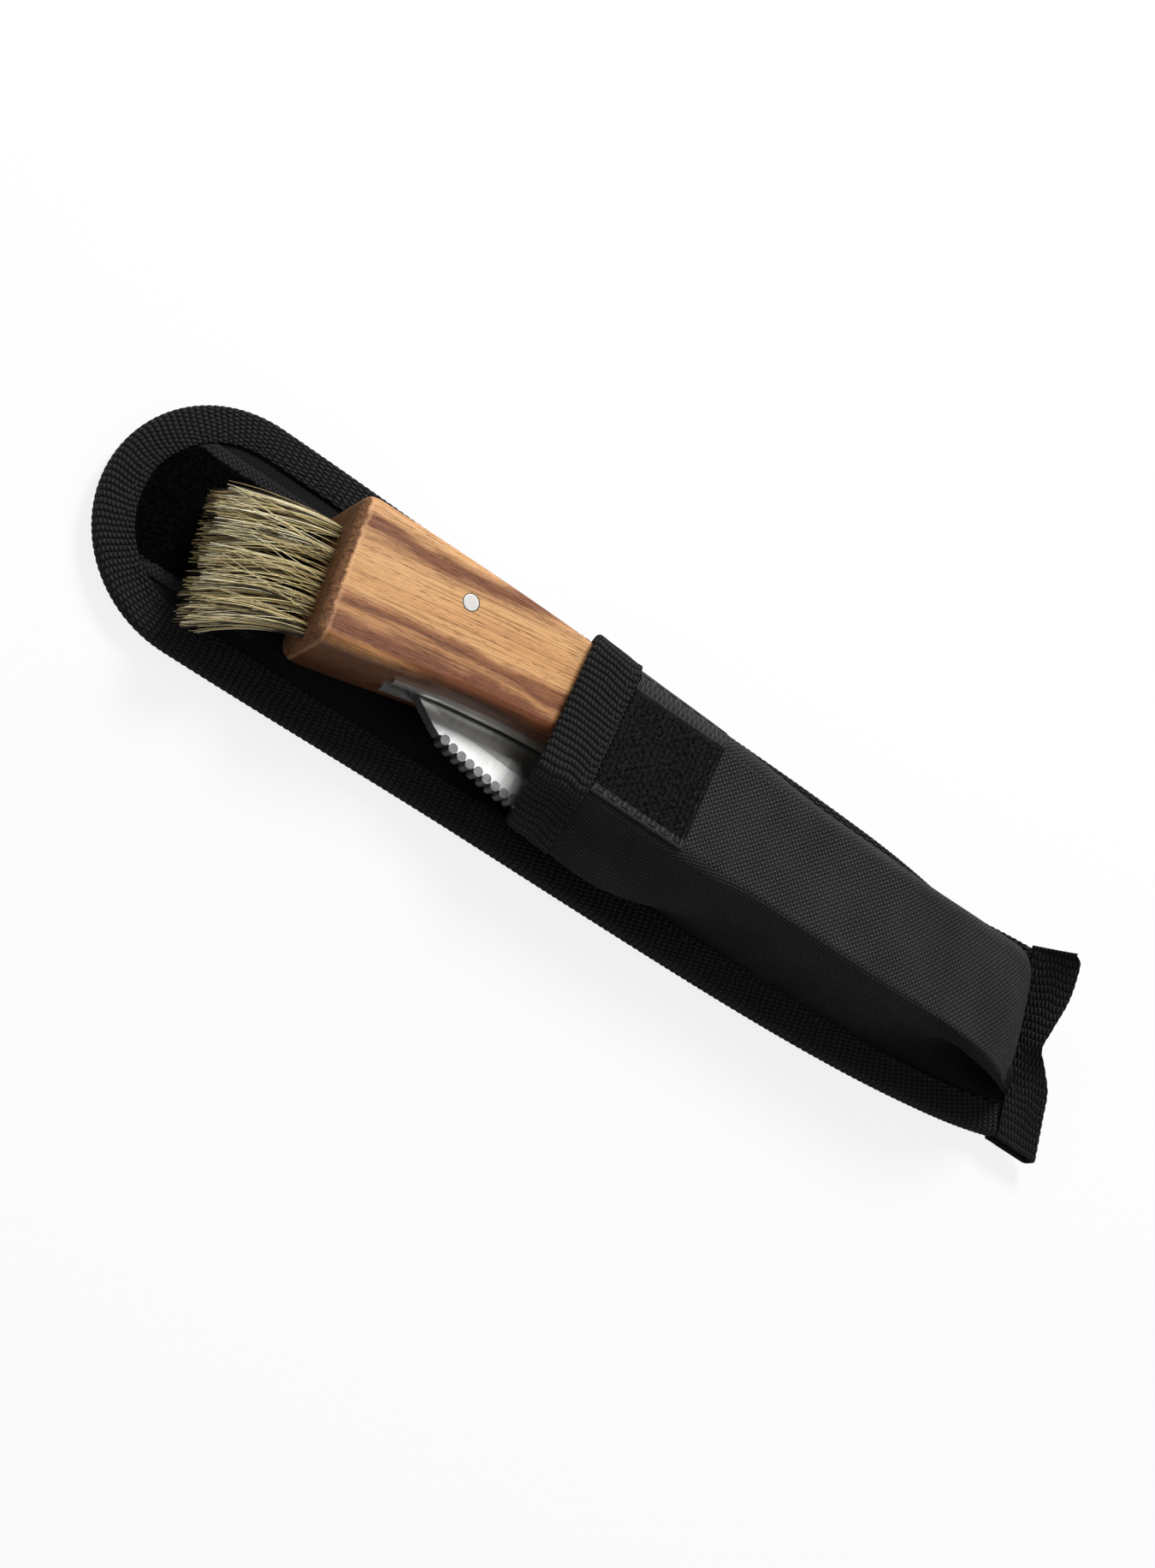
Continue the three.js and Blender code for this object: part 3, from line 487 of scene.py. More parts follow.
def brushedSteel(name, colour, roughness, brush, lean=(1, 1, 1), contrast=0.12):
    material, tree, shader = startMaterial(name, Metallic=1.0, Roughness=roughness)
    scratch = grains(objectSpot(tree, lean), brush, 4.0, 0.65)
    cloudy = grains(objectSpot(tree), 90)
    tone = maths("MULTIPLY_ADD", cloudy, 0.5, maths("MULTIPLY", scratch, 0.5))
    dark = tuple(value * (1 - contrast) for value in colour)
    light = tuple(min(1, value * (1 + contrast)) for value in colour)
    rough = maths("MULTIPLY_ADD", cloudy, 0.1, roughness - 0.16)
    rough = maths("MULTIPLY_ADD", scratch, 0.22, rough)
    fill(shader, {"Base Color": ramp(tone, [(0.35, dark), (0.65, light)]), "Roughness": rough})
    addBump(shader, scratch, 0.000015)
    return material


def hairStrands(name, colours):
    material, tree, shader = startMaterial(name, Roughness=0.42, Specular_IOR_Level=0.4)
    tone = addNode(tree, "ShaderNodeAttribute", attribute_name="tone").outputs["Fac"]
    mottled = grains(objectSpot(tree), 500, 2.0)
    shade = maths("MULTIPLY_ADD", mottled, 0.16, maths("SUBTRACT", tone, 0.08))
    fill(shader, {"Base Color": ramp(shade, colours, False)})
    addBump(shader, grains(objectSpot(tree, (0.3, 1, 1)), 6000, 2.0), 0.00003)
    return material


def makeMaterials():
    black, soot, pitchBlack = (0.0026, 0.0026, 0.0029), (0.0012, 0.0012, 0.0014), (0.0004, 0.0004, 0.0005)
    blackPlastic, along = (0.014, 0.014, 0.0155), (1, 0.12, 1)
    return {
        "front": weaveCloth(
            "front_weave", (0.002, 0.0018, 0.0019), (0.058, 0.053, 0.052), 0.94, 0.0004, 0.8, 0.04, True,
        ),
        "lining": weaveCloth(
            "lining_weave", (0.0005, 0.0005, 0.0006), (0.0045, 0.0045, 0.005), 0.5, 0.0002, 0.85, 0.0,
        ),
        "gusset": weaveCloth("gusset_weave", soot, (0.034, 0.034, 0.037), 0.58, 0.0004, 0.85, 0.04),
        "tape": ribbedCloth(
            "binding_ribs", black, (0.019, 0.019, 0.0205), tapeRibs["pitch"], 0.74, 0.0006, 0.8, 0.03,
        ),
        "webbing": ribbedCloth("webbing_ribs", black, blackPlastic, strap["rib"], 1.6, 0.0003, 0.8, 0.03),
        "selvage": ribbedCloth(
            "hook_selvage", (0.006, 0.006, 0.0065), (0.05, 0.05, 0.054), 0.5, 3.0, 0.00025,
        ),
        "loopEdge": ribbedCloth(
            "loop_selvage", (0.001, 0.001, 0.0012), (0.017, 0.017, 0.019), 0.5, 1.2, 0.00025,
        ),
        "hooks": fuzzyThread("hook_plastic", pitchBlack, blackPlastic, 0.5, 0.0, 0.09),
        "hookGround": fuzzyThread("hook_ground", pitchBlack, (0.0062, 0.0062, 0.007), 0.6, 0.0, 0.06),
        "pile": fuzzyThread("loop_pile", (0.0003, 0.0003, 0.0004), (0.0016, 0.0016, 0.0019), 0.95, 0.0, 0.03),
        "thread": fuzzyThread("sewing_thread", (0.003, 0.003, 0.0034), blackPlastic, 0.6, 0.03),
        "wood": stripedWood("striped_wood"),
        "liner": brushedSteel("liner_steel", (0.74, 0.75, 0.72), 0.40, 900, (0.15, 1, 1)),
        "rivet": brushedSteel("rivet_steel", (0.33, 0.323, 0.313), 0.5, 2600, contrast=0.1),
        "blade": brushedSteel("blade_steel", (0.45, 0.44, 0.42), 0.33, 1500, along),
        # The ground band beside the spine: its lighter colour is a painted highlight
        "bandPaintedHighlight": brushedSteel("band_steel_painted_highlight", (0.55, 0.55, 0.54), 0.38, 1500, along, 0.05),
        # A darker copy of the blade steel for the spine, its notches and lobes: a painted shade
        "spine": brushedSteel("spine_steel_painted_shade", (0.19, 0.19, 0.195), 0.42, 1500, contrast=0.2),
        "brass": brushedSteel("washer_brass", (0.72, 0.50, 0.22), 0.35, 1200),
        "hair": hairStrands("brush_hair", [
            (0.0, (0.010, 0.007, 0.004)), (0.16, (0.04, 0.026, 0.012)), (0.3, (0.22, 0.155, 0.062)),
            (0.5, (0.50, 0.385, 0.165)), (0.75, (0.78, 0.67, 0.36)), (1.0, (0.97, 0.92, 0.70)),
        ]),
    }


# Building helpers

def linkPiece(name, bm, slotName, *finishes):
    piece = linkObject(name, meshFrom(name, bm))
    for face in piece.data.polygons:
        face.use_smooth = True
    for finish in finishes:
        piece.data.materials.append(finish)
    return piece


def addFinish(piece, kind, **settings):
    # A modifier that is applied at once
    made = piece.modifiers.new(kind.lower(), kind)
    for key, value in settings.items():
        setattr(made, key, value)
    finishModifiers(piece)


def finishModifiers(piece):
    graph = bpy.context.evaluated_depsgraph_get()
    finished = piece.evaluated_get(graph)
    mesh = bpy.data.meshes.new_from_object(finished, preserve_all_data_layers=True, depsgraph=graph)
    piece.modifiers.clear()
    piece.data = mesh


def clothGrid(rows, alongAt, closed=False, flip=False):
    # rows hold the points across the piece, one row for each place in alongAt
    if closed:
        rows = [[*row, row[0].copy()] for row in rows]
    across, along = len(rows[0]) - 1, len(rows) - 1
    bm = bmesh.new()
    bmesh.ops.create_grid(bm, x_segments=across, y_segments=along, size=0.5)
    cloth = bm.loops.layers.uv.new("cloth")
    spans = []
    for row in rows:
        span = [0.0]
        for a, b in zip(row, row[1:]):
            span.append(span[-1] + (b - a).length / mm)
        spans.append(span)
    spots = {}
    for vert in bm.verts:
        i, j = round((vert.co.x + 0.5) * across), round((vert.co.y + 0.5) * along)
        vert.co = rows[j][i]
        spots[vert] = (alongAt[j], spans[j][i])
    for face in bm.faces:
        for loop in face.loops:
            loop[cloth].uv = spots[loop.vert]
    if closed:
        bmesh.ops.remove_doubles(bm, verts=bm.verts, dist=0.002 * mm)
        bmesh.ops.recalc_face_normals(bm, faces=bm.faces)
    elif flip:
        bmesh.ops.reverse_faces(bm, faces=bm.faces)
    return bm


def skinPiece(name, rows, stations, slotName, finishes, finishAt=None):
    # A closed skin with its two ends capped. finishAt gives the finish of the face at a spot.
    bm = clothGrid(rows, stations, closed=True)
    edges = [edge for edge in bm.edges if edge.is_boundary]
    if edges:
        bmesh.ops.holes_fill(bm, edges=edges, sides=0)
    bmesh.ops.recalc_face_normals(bm, faces=bm.faces)
    if finishAt:
        for face in bm.faces:
            x, y, _ = fromFrame(face.calc_center_median())
            face.material_index = finishAt(x, y)
    return linkPiece(name, bm, slotName, *finishes)


# Pouch shape, as the solids have it

def through(pairs, t):
    # A smooth curve through pairs of place and value
    index = 0
    while index < len(pairs) - 2 and pairs[index + 1][0] < t:
        index += 1
    (x0, y0), (x1, y1) = pairs[index], pairs[index + 1]
    before, after = pairs[max(index - 1, 0)], pairs[min(index + 2, len(pairs) - 1)]
    run = x1 - x0
    m0 = (y1 - before[1]) / (x1 - before[0]) * run
    m1 = (after[1] - y0) / (after[0] - x0) * run
    w = (t - x0) / run
    start = (2 * w ** 3 - 3 * w ** 2 + 1) * y0 + (w ** 3 - 2 * w ** 2 + w) * m0
    return start + (-2 * w ** 3 + 3 * w ** 2) * y1 + (w ** 3 - w ** 2) * m1


def taper(x):
    return clamp(x / pouchSize["depth"]) ** pouchSize["taperPower"]


def narrowing(x):
    return mix(1, pouchSize["endShare"], taper(x))


def halfWidth(x, inset=0.0):
    if x < roundCentre:
        return math.sqrt(max(0.0, (pouchHalf - inset) ** 2 - (x - roundCentre) ** 2))
    width = mix(pouchHalf, waistHalf, smooth((x - roundCentre) / pouchSize["flareRun"]))
    return width - pouchSize["bottomTaper"] * taper(x) - inset * narrowing(x)


def place(x, y, z):
    size = pouchSize
    across = (y + bottomHalf) / (2 * bottomHalf)
    skewed = clamp((x - size["skewStart"]) / (pouchEnd - size["skewStart"])) ** size["endPower"]
    lifted = clamp((x - size["liftStart"]) / (pouchEnd - size["liftStart"])) ** size["endPower"]
    corner = size["endCorner"]
    turned = corner * (1 - math.sqrt(1 - clamp((y - bottomHalf + corner) / corner) ** 2))
    dent = size["endDent"] * through(size["dent"], max(-1, min(1, y / bottomHalf))) + turned
    x -= size["endSkew"] * across * skewed + dent * clamp((x - size["depth"]) / size["bottomBand"])
    fade = 1 - clamp((z - bindingTop) / (frontTop - bindingTop))
    return put(x, y, z + size["endLift"] * across * lifted * fade)


def placeRaked(x, y, z):
    height = (z - flangeTop) / (frontTop - flangeTop)
    return place(x + pouchSize["mouthRake"] * (1 - height) * clamp(1 - x / pouchSize["rakeRun"]), y, z)


# Marks round the pocket's section, from its near foot over the front to its far foot
sectionMarks = {
    "foot": 1, "nearCrease": 7, "nearSeam": 10, "farSeam": 14, "farCrease": 17, "farFoot": 23, "end": 24,
}
sideShares = [0, 0.1, 0.28, 0.45, 0.62, 0.82, 1]


def sideShare(t):
    index = min(int(t), len(sideShares) - 2)
    return mix(sideShares[index], sideShares[index + 1], t - index)


def between(q, first, last):
    return (q - sectionMarks[first]) / (sectionMarks[last] - sectionMarks[first])


def pocketAt(x, q):
    # The pocket's outer line: y and z at mark q, where it stands up and where it is pressed flat
    marks, size = sectionMarks, pouchSize
    along = min(x, size["depth"])
    half = size["handleHalf"]
    farWall = half - size["farTuck"]
    far = mix(farWall, half + size["farMouthRoom"], (1 - clamp(along / size["farWallRun"])) ** 2)
    near = half - size["nearTuck"]
    held = 1 - ease(along, size["bulgeHold"], size["bulgeRun"])
    bulge = (size["bladeBulge"] + size["bulgeGrowth"] * smooth(along / size["bulgeHold"])) * held
    bulge -= size["endHollow"] * ease(along, size["hollowStart"], size["depth"] - size["hollowStart"])
    edge = halfWidth(along) - layers["tape"] - layers["seam"]
    foot = halfWidth(along, size["footInset"])
    nearRound, farRound = size["nearCrease"], size["farCrease"]
    fold, crease = size["gussetFold"], size["creaseFold"]
    front = between(q, "nearSeam", "farSeam")
    if q <= marks["foot"]:
        return -mix(edge, foot, q), flangeTop
    if q >= marks["farFoot"]:
        return mix(foot, edge, q - marks["farFoot"]), flangeTop
    if q <= marks["nearCrease"]:
        v = sideShare(q - marks["foot"])
        y = -mix(foot, near, v) - bulge * math.sin(math.pi * v) ** size["bulgePower"]
        z = mix(flangeTop, frontTop - nearRound, v)
        flatY = v * fold - foot
    elif q <= marks["nearSeam"]:
        t = between(q, "nearCrease", "nearSeam")
        turn = math.pi / 2 * t
        y, z = -near + nearRound * (1 - math.cos(turn)), frontTop - nearRound * (1 - math.sin(turn))
        flatY = fold + crease * t - foot
    elif q <= marks["farSeam"]:
        y, z = mix(-near + nearRound, far - farRound, front), frontTop
        flatY = mix(-1, 1, front) * (foot - fold - crease)
    elif q <= marks["farCrease"]:
        t = between(q, "farCrease", "farSeam")
        turn = math.pi / 2 * t
        y, z = far - farRound * (1 - math.cos(turn)), frontTop - farRound * (1 - math.sin(turn))
        flatY = foot - fold - crease * t
    else:
        v = sideShare(marks["farFoot"] - q)
        y = mix(foot, far, v) + size["handlePush"] * held * math.sin(math.pi * v) ** size["pushPower"]
        z = mix(flangeTop, frontTop - farRound, v)
        flatY = foot - v * fold
    share = clamp((along - size["flattenStart"]) / (size["depth"] - size["flattenStart"]))
    flatten = share ** mix(*size["flattenPowers"], clamp(front))
    return mix(y, flatY, flatten), mix(z, flangeTop, flatten)


def pocketOut(x, q, step=0.08):
    y0, z0 = pocketAt(x, max(0.0, q - step))
    y1, z1 = pocketAt(x, min(sectionMarks["end"], q + step))
    length = math.hypot(y1 - y0, z1 - z0) or 1.0
    return -(z1 - z0) / length, (y1 - y0) / length


def onPocket(x, q, off, shift=0.0):
    # A spot at the distance off from the pocket's outer line, with its x moved by shift
    y, z = pocketAt(x, q)
    ny, nz = pocketOut(x, q)
    return placeRaked(x + shift, y + ny * off, z + nz * off)


def arc(turns, count):
    # Sine and cosine over a number of quarter turns
    return [(math.sin(turn), math.cos(turn)) for turn in steps(0, math.pi / 2 * turns, count)]


# Pouch pieces

tapeRibs = {
    "pitch": 1.22, "height": 0.14, "perRib": 5, "valley": 0.25, "ribPower": 0.7, "bend": 0.9,
    "stitchIn": 1.3, "stitchDent": 0.14, "stitchSpread": 0.45, "mouthSpread": 0.5,
    "wave": 0.16, "waveScale": 7.0,
    "sway": 0.42, "swayScale": 5.0, "endRun": 4.0, "lip": 0.6, "mouthWave": 0.25, "mouthWaveScale": 8.0,
}


def ribHeight(along):
    wave = abs(math.sin(math.pi * along / tapeRibs["pitch"]))
    return tapeRibs["height"] * (wave ** tapeRibs["ribPower"] - tapeRibs["valley"])


def ribSway(along, across, most=1.0):
    return tapeRibs["sway"] * most * ripple(along * 0.6, across * 1.6, 6, tapeRibs["swayScale"])


def ribStations(start, end):
    return steps(start, end, round((end - start) / tapeRibs["pitch"] * tapeRibs["perRib"]))


def stitchDent(inwards, width, facing, spread=tapeRibs["stitchSpread"]):
    groove = math.exp(-(((inwards - width + tapeRibs["stitchIn"]) / spread) ** 2))
    return tapeRibs["stitchDent"] * groove * facing


def outlinePath():
    # The way round the flap and along the long edges: its length, and a spot with its inward direction
    start = pouchSize["depth"] - layers["slide"]
    straight = steps(start, roundCentre, 260)
    points = [(x, -halfWidth(x)) for x in straight]
    points += [
        (roundCentre - pouchHalf * math.sin(turn), -pouchHalf * math.cos(turn))
        for turn in steps(0, math.pi, 120)[1:-1]
    ]
    points += [(x, halfWidth(x)) for x in reversed(straight)]
    lengths = [0.0]
    for a, b in zip(points, points[1:]):
        lengths.append(lengths[-1] + math.dist(a, b))

    def at(s):
        index = min(max(bisect.bisect(lengths, s) - 1, 0), len(points) - 2)
        (x0, y0), (x1, y1) = points[index], points[index + 1]
        run = lengths[index + 1] - lengths[index]
        t = (s - lengths[index]) / run
        return mix(x0, x1, t), mix(y0, y1, t), (y1 - y0) / run, (x0 - x1) / run

    return at, lengths[-1]


def bindingHeight(x):
    return mix(flapTop, bindingTop, ease(x, *pouchSize["bindingRise"]))


def tapeSection(top, width):
    # Distance inwards, height and outward direction over a folded tape, from its top edge to its lower
    bend = tapeRibs["bend"]
    skin = [(d, top, 0, 1) for d in steps(width, bend, 10)]
    skin += [(bend * (1 - s), top - bend * (1 - c), -s, c) for s, c in arc(1, 4)[1:]]
    skin += [(bend * (1 - c), bend * (1 - s), -c, -s) for s, c in arc(1, 4)]
    return skin + [(d, 0, 0, -1) for d in steps(bend, width, 6)[1:]]


def tapeInside(top, width):
    # Distance inwards and height of the four corners inside the folded tape
    tape = layers["tape"]
    return (width, tape), (tape, tape), (tape, top - tape), (width, top - tape)


def edgeTape(materials):
    at, total = outlinePath()
    stations = ribStations(0, total)
    rows = []
    for s in stations:
        x, y, nx, ny = at(s)
        width = pouchSize["tapeWidth"] * narrowing(x)
        top = bindingHeight(x)
        rib = ribHeight(s)
        wave = tapeRibs["wave"] * ripple(s, 0, 3, tapeRibs["waveScale"])
        free = clamp(min(s, total - s) / tapeRibs["endRun"])
        row = []
        for d, z, nd, nz in tapeSection(top, width):
            x, y, nx, ny = at(s + free * ribSway(s, d))
            out = rib - stitchDent(d, width, abs(nz))
            inwards = d + nd * out + wave * (d / width) ** 2
            row.append(place(x + nx * inwards, y + ny * inwards, z + nz * out))
        x, y, nx, ny = at(s)
        row += [place(x + nx * d, y + ny * d, z) for d, z in tapeInside(top, width)]
        rows.append(row)
    piece = skinPiece("edge_tape", rows, stations, "binding_tape", [materials["tape"]])
    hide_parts("left_edge_binding", "right_edge_binding", "flap_end_binding")
    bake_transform(piece)


lining = {"puff": 0.45, "bumps": 0.10, "bumpScale": 6.0, "from": (-56.0, 8.0), "to": -2.0}


def backCloth(materials):
    edgeIn = layers["tape"] + layers["seam"]
    tip = edgeIn - pouchSize["flapReach"]
    rounded = [mix(tip, roundCentre, 1 - c) for _, c in arc(1, 30)]
    stations = rounded + steps(roundCentre, pouchEnd - edgeIn, 120)[1:]
    rows = []
    for x in stations:
        along = min(x, pouchSize["depth"])
        half = max(0.02, halfWidth(x, edgeIn) if x < roundCentre else halfWidth(along) - edgeIn)
        shown = ease(x, *lining["from"]) if x < lining["to"] else 0.0
        row = []
        for t in steps(-1, 1, 44):
            inside = max(0.0, halfWidth(along, pouchSize["tapeWidth"]) - abs(half * t))
            puff = lining["puff"] * smooth(inside / 6)
            puff += lining["bumps"] * ripple(x, half * t, 9, lining["bumpScale"]) * smooth(inside / 3)
            row.append(place(x, half * t, backTop + puff * shown))
        row += [place(x, -half * t, edgeIn) for t in steps(-1, 1, 44)]
        rows.append(row)
    piece = skinPiece("back_cloth", rows, stations, "woven_cloth", [materials["lining"]])
    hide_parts("back_panel", "flap_end_panel")
    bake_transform(piece)


# Each pair is where a change starts along the pocket and how far it runs
pocketLook = {
    "rowsAlong": 170, "crumple": 0.42, "crumpleScale": 11.0, "crumpleIn": (0, 14), "crumpleOut": (104, 12),
    "sag": 0.9, "sagIn": (34, 20), "frontPuff": 0.5, "puffScale": 14.0, "puffIn": (30, 12),
    "hollow": 4.4, "hollowIn": (86, 26), "hollowOut": (113, 4.5), "hollowMarks": (2.0, 5.4),
    "shadeIn": (78.4, 14), "wrapMark": 16.6,
}


def pocketCloth(name, fromMark, toMark, count, material, slotName, node, soft, wrap=None):
    look, marks = pocketLook, sectionMarks
    stations = steps(0, pouchEnd - layers["tape"] - layers["seam"], look["rowsAlong"])
    rows = []
    for x in stations:
        row = []
        rest = ease(x, *look["crumpleIn"]) * (1 - ease(x, *look["crumpleOut"]))
        hollow = look["hollow"] * ease(x, *look["hollowIn"]) * (1 - ease(x, *look["hollowOut"]))
        for q in steps(fromMark, toMark, count):
            fromFoot = min(abs(q - marks["foot"]), abs(q - marks["farFoot"]))
            fromSeam = min(abs(q - marks["nearSeam"]), abs(q - marks["farSeam"]))
            if soft:
                middle = clamp(fromFoot / 2) * clamp(fromSeam / 1.5) * rest
                crumple = look["crumple"] * ripple(x * 0.7, q * 3.0, 5, look["crumpleScale"])
                start, run = look["hollowMarks"]
                push = middle * (crumple - look["sag"] * ease(x, *look["sagIn"]))
                push -= hollow * math.sin(math.pi * clamp((q - start) / run))
            else:
                inside = math.sin(math.pi * clamp(between(q, "nearSeam", "farSeam")))
                puff = look["frontPuff"] * ripple(x, q * 4, 8, look["puffScale"])
                push = puff * inside * rest * ease(x, *look["puffIn"])
            row.append(onPocket(x, q, push))
        rows.append(row)
    bm = clothGrid(rows, stations, flip=True)
    # Painted shade: the near gusset's cloth is marked darker towards the pocket's end, where it sinks into a
    # hollow; the weave material reads this as fold
    if soft:
        shade = bm.verts.layers.float.new("fold")
        for vert in bm.verts:
            x, y, _ = fromFrame(vert.co)
            vert[shade] = ease(x, *look["shadeIn"]) if y < 0 else 0.0
    if wrap:
        wrapped = round((look["wrapMark"] - fromMark) / (toMark - fromMark) * count)
        for face in bm.faces:
            face.material_index = 1 if face.index % count < wrapped else 0
    piece = linkPiece(name, bm, slotName, *([material, wrap] if wrap else [material]))
    addFinish(piece, "SOLIDIFY", thickness=layers["cloth"] * mm, offset=-1)
    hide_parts(node)
    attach(piece, "pouch")


def mouthPath():
    # The way round the pocket's mouth: its length, and the mark at any distance
    fine = steps(sectionMarks["foot"], sectionMarks["farFoot"], 900)
    lengths = [0.0]
    for a, b in zip(fine, fine[1:]):
        lengths.append(lengths[-1] + math.dist(pocketAt(2, a), pocketAt(2, b)))

    def markAt(s):
        return fine[min(bisect.bisect(lengths, s), len(fine) - 1)]

    return markAt, lengths[-1]


def mouthTape(materials):
    tape, seam, back = layers["tape"], layers["seam"], pouchSize["mouthTape"]
    inside = layers["cloth"] + seam
    outer, inner = tape + seam, -inside - tape
    lip, middle, lipAt = (outer - inner) / 2, (outer + inner) / 2, tapeRibs["lip"]
    section = [(x, outer, 0, 1) for x in steps(back, lipAt, 10)]
    section += [(lipAt - lip * s, middle + lip * c, -s, c) for s, c in arc(2, 8)[1:]]
    section += [(x, inner, 0, -1) for x in steps(lipAt, back, 4)[1:]]
    markAt, total = mouthPath()
    stations = ribStations(0, total)
    rows = []
    for s in stations:
        rib = ribHeight(s)
        wave = tapeRibs["mouthWave"] * ripple(s, 4, 1, tapeRibs["mouthWaveScale"])
        free = clamp(min(s, total - s) / tapeRibs["endRun"])
        row = []
        for x, off, nx, no in section:
            q = markAt(s + free * ribSway(s, x, 1.5))
            dent = stitchDent(x, back, max(no, 0), tapeRibs["mouthSpread"])
            out = rib * (1 if off > inner + 0.1 else 0.2) - dent
            row.append(onPocket(x, q, off + no * out, nx * out + wave * ease(x, 5, 4)))
        corners = ((back, -inside), (0.2, -inside), (0.2, seam), (back, seam))
        row += [onPocket(x, markAt(s), off) for x, off in corners]
        rows.append(row)
    piece = skinPiece("mouth_tape", rows, stations, "binding_tape", [materials["tape"]])
    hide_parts("mouth_binding")
    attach(piece, "pouch")


def bottomTape(materials):
    half = bottomHalf + layers["tape"]
    width = pouchSize["bottomBand"] + 2 * layers["seam"]
    stations = ribStations(-half, half)
    rows = []
    for y in stations:
        rib = ribHeight(y + half)
        free = clamp((half - abs(y)) / tapeRibs["endRun"])
        row = []
        for d, z, nd, nz in tapeSection(bindingTop, width):
            out = rib - stitchDent(d, width, abs(nz))
            row.append(place(pouchEnd - d - nd * out, y + free * ribSway(y, d, 1.5), z + nz * out))
        row += [place(pouchEnd - d, y, z) for d, z in tapeInside(bindingTop, width)]
        rows.append(row)
    piece = skinPiece("bottom_tape", rows, stations, "binding_tape", [materials["tape"]])
    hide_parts("bottom_binding")
    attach(piece, "pouch")


strap = {"rib": 1.3, "ribHeight": 0.1, "perRib": 6, "edgeRound": 0.4}


def beltStrap(materials):
    (x0, _, bottom), (x1, half, top) = [fromFrame(corner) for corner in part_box("belt_loop")]
    r = strap["edgeRound"]
    stations = steps(x0, x1, round((x1 - x0) / strap["rib"] * strap["perRib"]))
    rows = []
    for x in stations:
        wave = abs(math.sin(math.pi * (x - x0) / strap["rib"]))
        lift = strap["ribHeight"] * (wave ** tapeRibs["ribPower"] - 1)
        row = []
        for side, level in ((1, top), (-1, bottom)):
            for t in steps(-1, 1, 20):
                edge = clamp((abs(t) * half - half + r) / r)
                drop = r * (1 - math.sqrt(max(0.0, 1 - edge * edge)))
                row.append(put(x, t * half * side, level - side * (drop - lift)))
        rows.append(row)
    piece = skinPiece("belt_strap", rows, stations, "webbing", [materials["webbing"]])
    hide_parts("belt_loop")
    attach(piece, "pouch")


# Closure patches

patches = {
    "hookBase": 0.36, "hookRise": 0.62, "hookStem": 0.55, "hookBend": (0.17, 0.2), "hookRadius": 0.085,
    "hookPitch": (0.98, 0.78), "hookRoom": (0.4, 0.2), "hookStray": (0.13, 0.15), "hookLean": 0.35,
    "hookTurn": 0.7, "nearSelvage": 1.7, "farSelvage": 4.0, "farReach": 3.8, "rim": (0.1, 0.4),
    "loopSelvage": 2.1, "seat": 0.05, "loopLength": 26.8, "loopWidth": 26.0, "loopBase": 0.34,
    "pileCount": 3400, "pileRadius": 0.34, "pileThread": 0.045, "pileTilt": 0.8, "pileRoom": 0.3,
}


def patchBase(name, stations, halfAt, middle, low, thick, slotName, finishes, isSelvage, settle):
    drop, run = patches["rim"]
    rows = []
    for x in stations:
        half = max(halfAt(x), 0.05)
        row = []
        for t in steps(-1, 1, 56):
            rim = drop * smooth((abs(t) * half - half + run) / run)
            row.append(settle(x, middle + t * half, low + thick - rim))
        row += [settle(x, middle - t * half, low) for t in steps(-1, 1, 56)]
        rows.append(row)
    return skinPiece(name, rows, stations, slotName, finishes, lambda x, y: 1 if isSelvage(x, y) else 0)


def addTemplate(bm, template, matrix):
    start = len(bm.verts)
    bm.from_mesh(template)
    bm.verts.ensure_lookup_table()
    bmesh.ops.transform(bm, matrix=matrix, verts=bm.verts[start:])


def bentRod(name, radius, sides, places):
    bm = bmesh.new()
    ring = bmesh.ops.create_circle(bm, cap_ends=True, segments=sides, radius=radius)["verts"]
    before = Vector((0, 0, 1))
    spot = Vector(places[0])
    bmesh.ops.translate(bm, verts=ring, vec=spot)
    face = bm.faces[:][0]
    for follow in places[1:]:
        follow = Vector(follow)
        made = bmesh.ops.extrude_discrete_faces(bm, faces=[face])
        face = made["faces"][0]
        ring = face.verts[:]
        bmesh.ops.translate(bm, verts=ring, vec=follow - spot)
        after = (follow - spot).normalized()
        spin = before.rotation_difference(after).to_matrix()
        bmesh.ops.rotate(bm, verts=ring, cent=follow, matrix=spin)
        before, spot = after, follow
    bmesh.ops.recalc_face_normals(bm, faces=bm.faces)
    return meshFrom(name, bm)


